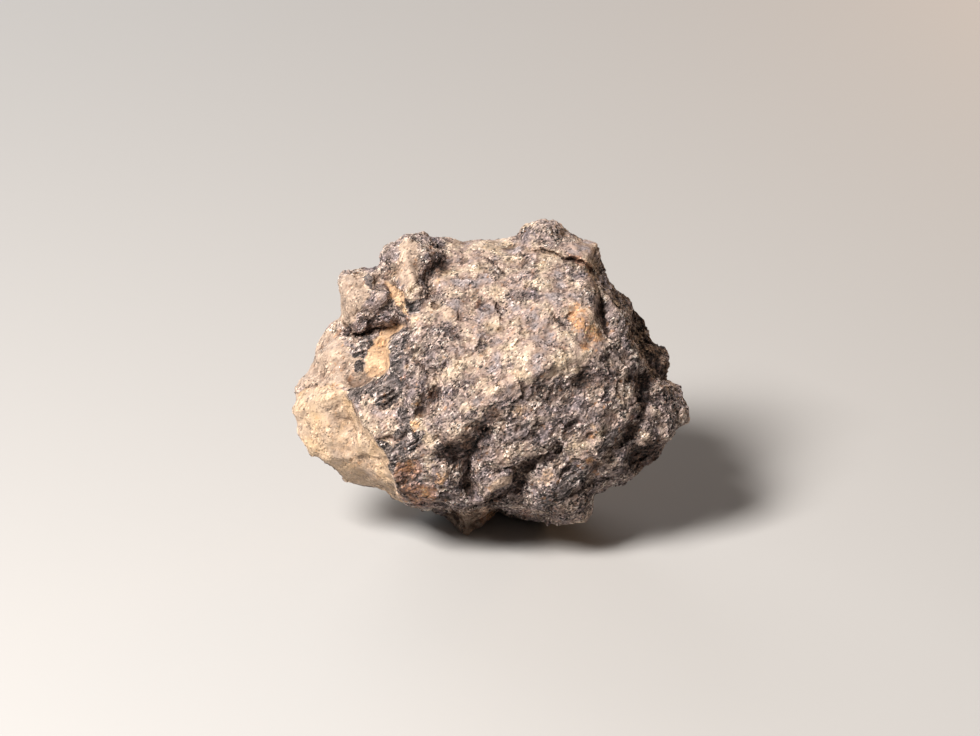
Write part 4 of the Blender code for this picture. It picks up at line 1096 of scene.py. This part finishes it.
# where the darkening lies, how strong it is there, its colour: darker pits, darker wide hollows, then painted
# shade with some grime
for there, share, stain in (
    (between(pit, 0.1, 0.9), 0.55, HOLLOW_BROWN),
    (between(attribute("hollow"), 0.1, 0.9), 0.5, HOLLOW_BROWN),
    (between(maths("ADD", grime_and_shade, fray), 0.1, 1.0), 1.0, SHADE_AND_GRIME_BROWN),
):
    there = maths("MULTIPLY", maths("MULTIPLY", there, share), darkening)
    colour = mixed(there, colour, stain, "MULTIPLY")
colour = mixed(maths("MULTIPLY", between(pit, -0.1, -0.9), 0.25), colour, RUBBED, "SOFT_LIGHT")

# %% [markdown]
# ## How grains catch the light
# Crystals in the stone have flat faces that lean every way, so one grain flashes while the next stays dull.
# A bump map alone is too soft for that. Here the normal is tipped by each grain's random colour first, and a
# little bump comes after it. Some specks are glossy, and a very few are bare metal, as in real chondrites.

# %% Gloss, lean and fine relief of the grains
# random numbers above which a speck is glossy or metal
GLOSSY_FROM = 0.87
METAL_FROM = 0.985
SPECK_LEAN = 0.42
CRUMB_LEAN = 0.28
# metres: the height of the finest relief
FINEST = 0.00012
glossy = maths("GREATER_THAN", speck[1], GLOSSY_FROM)
roughness = maths("SUBTRACT", between(crumb[1], 0.0, 1.0, 0.66, 0.84), maths("MULTIPLY", glossy, 0.3))
metal = maths("GREATER_THAN", speck[2], METAL_FROM)
tipped = node("NewGeometry", {}).outputs["Normal"]
for colours, most in ((crumb_colours, CRUMB_LEAN), (speck_colours, SPECK_LEAN)):
    lean = scaled(vector_maths("SUBTRACT", colours, (0.5,) * 3), maths("MULTIPLY", contrast, most))
    tipped = vector_maths("ADD", tipped, lean)
tipped = vector_maths("NORMALIZE", tipped)
# specks, streaky noise and crumbs, stronger where the contrast is, and the layers of slate
relief = maths("ADD", maths("MULTIPLY", speck[2], 0.4), maths("MULTIPLY", cloud(3.4, 5.0, streaked), 1.5))
relief = maths("MULTIPLY", maths("ADD", relief, maths("MULTIPLY", crumb[2], 0.5)), contrast)
relief = maths("ADD", relief, maths("MULTIPLY", layers, 6.0))
bumped = node("Bump", {"Strength": 0.7, "Distance": FINEST, "Height": relief, "Normal": tipped})
skin = node("BsdfPrincipled", {
    "Base Color": colour,
    "Roughness": roughness,
    "Metallic": metal,
    "Specular IOR Level": 0.4,
    "Normal": bumped.outputs["Normal"],
})
node("OutputMaterial", {"Surface": skin.outputs["BSDF"]})
print("nodes in the material:", len(tree.nodes))

# %% [markdown]
# ## The finished stone
# The carved mesh takes the solid's place. The solid is not shown any more, but it stays the stone's weight
# and its shape for anything that touches it. Its faces stay flat, because the material gives each grain its
# own lean.

# %% Stand it in for the solid
stone = placed("stone", stone_mesh)
stone_mesh.materials.append(stuff)
for face in stone_mesh.polygons:
    face.use_smooth = False
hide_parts("meteorite")
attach(stone, "root")
print("triangles:", sum(len(face.vertices) - 2 for face in stone_mesh.polygons))

# %% [markdown]
# ## Floor and light
# The floor is plain and pale. A soft key light from the upper left, before the stone, gives the broad light
# and shade. It is low enough to rake over the relief. A weak warm fill opens the shadows. A low warm light
# from behind, on the right, edges the right side, and a cooler one high behind, on the left, lights the top
# and back.

# %% Floor
FLOOR_HALF = 3.0
floor_shape = bmesh.new()
bmesh.ops.create_grid(floor_shape, x_segments=1, y_segments=1, size=FLOOR_HALF)
floor_mesh = bpy.data.meshes.new("floor")
floor_shape.to_mesh(floor_mesh)
floor_shape.free()
floor = placed("floor", floor_mesh)
floor_paint = bpy.data.materials.new("floor paint")
floor_paint.use_nodes = True
paint = floor_paint.node_tree.nodes["Principled BSDF"]
paint.inputs["Base Color"].default_value = (0.40, 0.39, 0.38, 1.0)
paint.inputs["Roughness"].default_value = 0.9
floor_mesh.materials.append(floor_paint)

# %% Lights
# name: direction as right, towards the viewer and up the picture; distance and size in metres; watts; colour
LAMPS = {
    "key": ((-0.47, 0.72, 0.5), 0.6, 0.2, 8.7, (1.0, 0.96, 0.92)),
    "fill": ((0.4, 1.0, 0.05), 0.8, 0.6, 0.16, (1.0, 0.88, 0.76)),
    "warm edge": ((0.75, -0.85, 0.5), 0.4, 0.1, 0.45, (1.0, 0.62, 0.36)),
    "back": ((-0.5, -0.9, 0.9), 0.7, 0.4, 2.2, (0.96, 0.98, 1.0)),
}
AIM = Vector((MIDDLE[0] * RIGHT + MIDDLE[1] * UP + (MIDDLE[2] + FRONT_MOST / 2) * OUT) / 1000)


def facing(target, away, distance):
    """The place and turn of something that faces the target from this distance."""
    return Matrix.Translation(target + away * distance) @ away.to_track_quat("Z", "Y").to_matrix().to_4x4()


for name, ((right, towards, up), distance, size, power, colour) in LAMPS.items():
    light = bpy.data.lights.new(name, "AREA")
    light.size, light.energy, light.color = size, power, colour
    away = Vector(right * RIGHT + towards * OUT + up * UP).normalized()
    placed(name, light).matrix_world = facing(AIM, away, distance)
world = bpy.data.worlds.new("studio")
world.use_nodes = True
world.node_tree.nodes["Background"].inputs["Color"].default_value = (0.96, 0.91, 0.86, 1.0)
world.node_tree.nodes["Background"].inputs["Strength"].default_value = 0.05
bpy.context.scene.world = world
print("lamps:", list(LAMPS))

# %% [markdown]
# ## The camera
# The picture was taken from 25 degrees above the ground with a long lens, which keeps the stone's
# proportions. The stone's middle sits a little below the middle of the picture.

# %% Camera
# mm: the lens, the width of the sensor, and how far right of the stone's middle and above it the camera aims
LENS = 200.0
SENSOR = 36.0
BESIDE, ABOVE = -0.06, 1.54
# metres: from the camera to where it aims, and the nearest it sees
DISTANCE = 0.8847
NEAREST = 0.01
camera_data = bpy.data.cameras.new("camera")
camera_data.lens = LENS
camera_data.sensor_width = SENSOR
camera_data.clip_start = NEAREST
camera = placed("camera", camera_data)
camera.matrix_world = facing(AIM + Vector(BESIDE * RIGHT + ABOVE * UP) / 1000, Vector(OUT), DISTANCE)
bpy.context.scene.camera = camera
bpy.context.scene.view_settings.view_transform = "Standard"
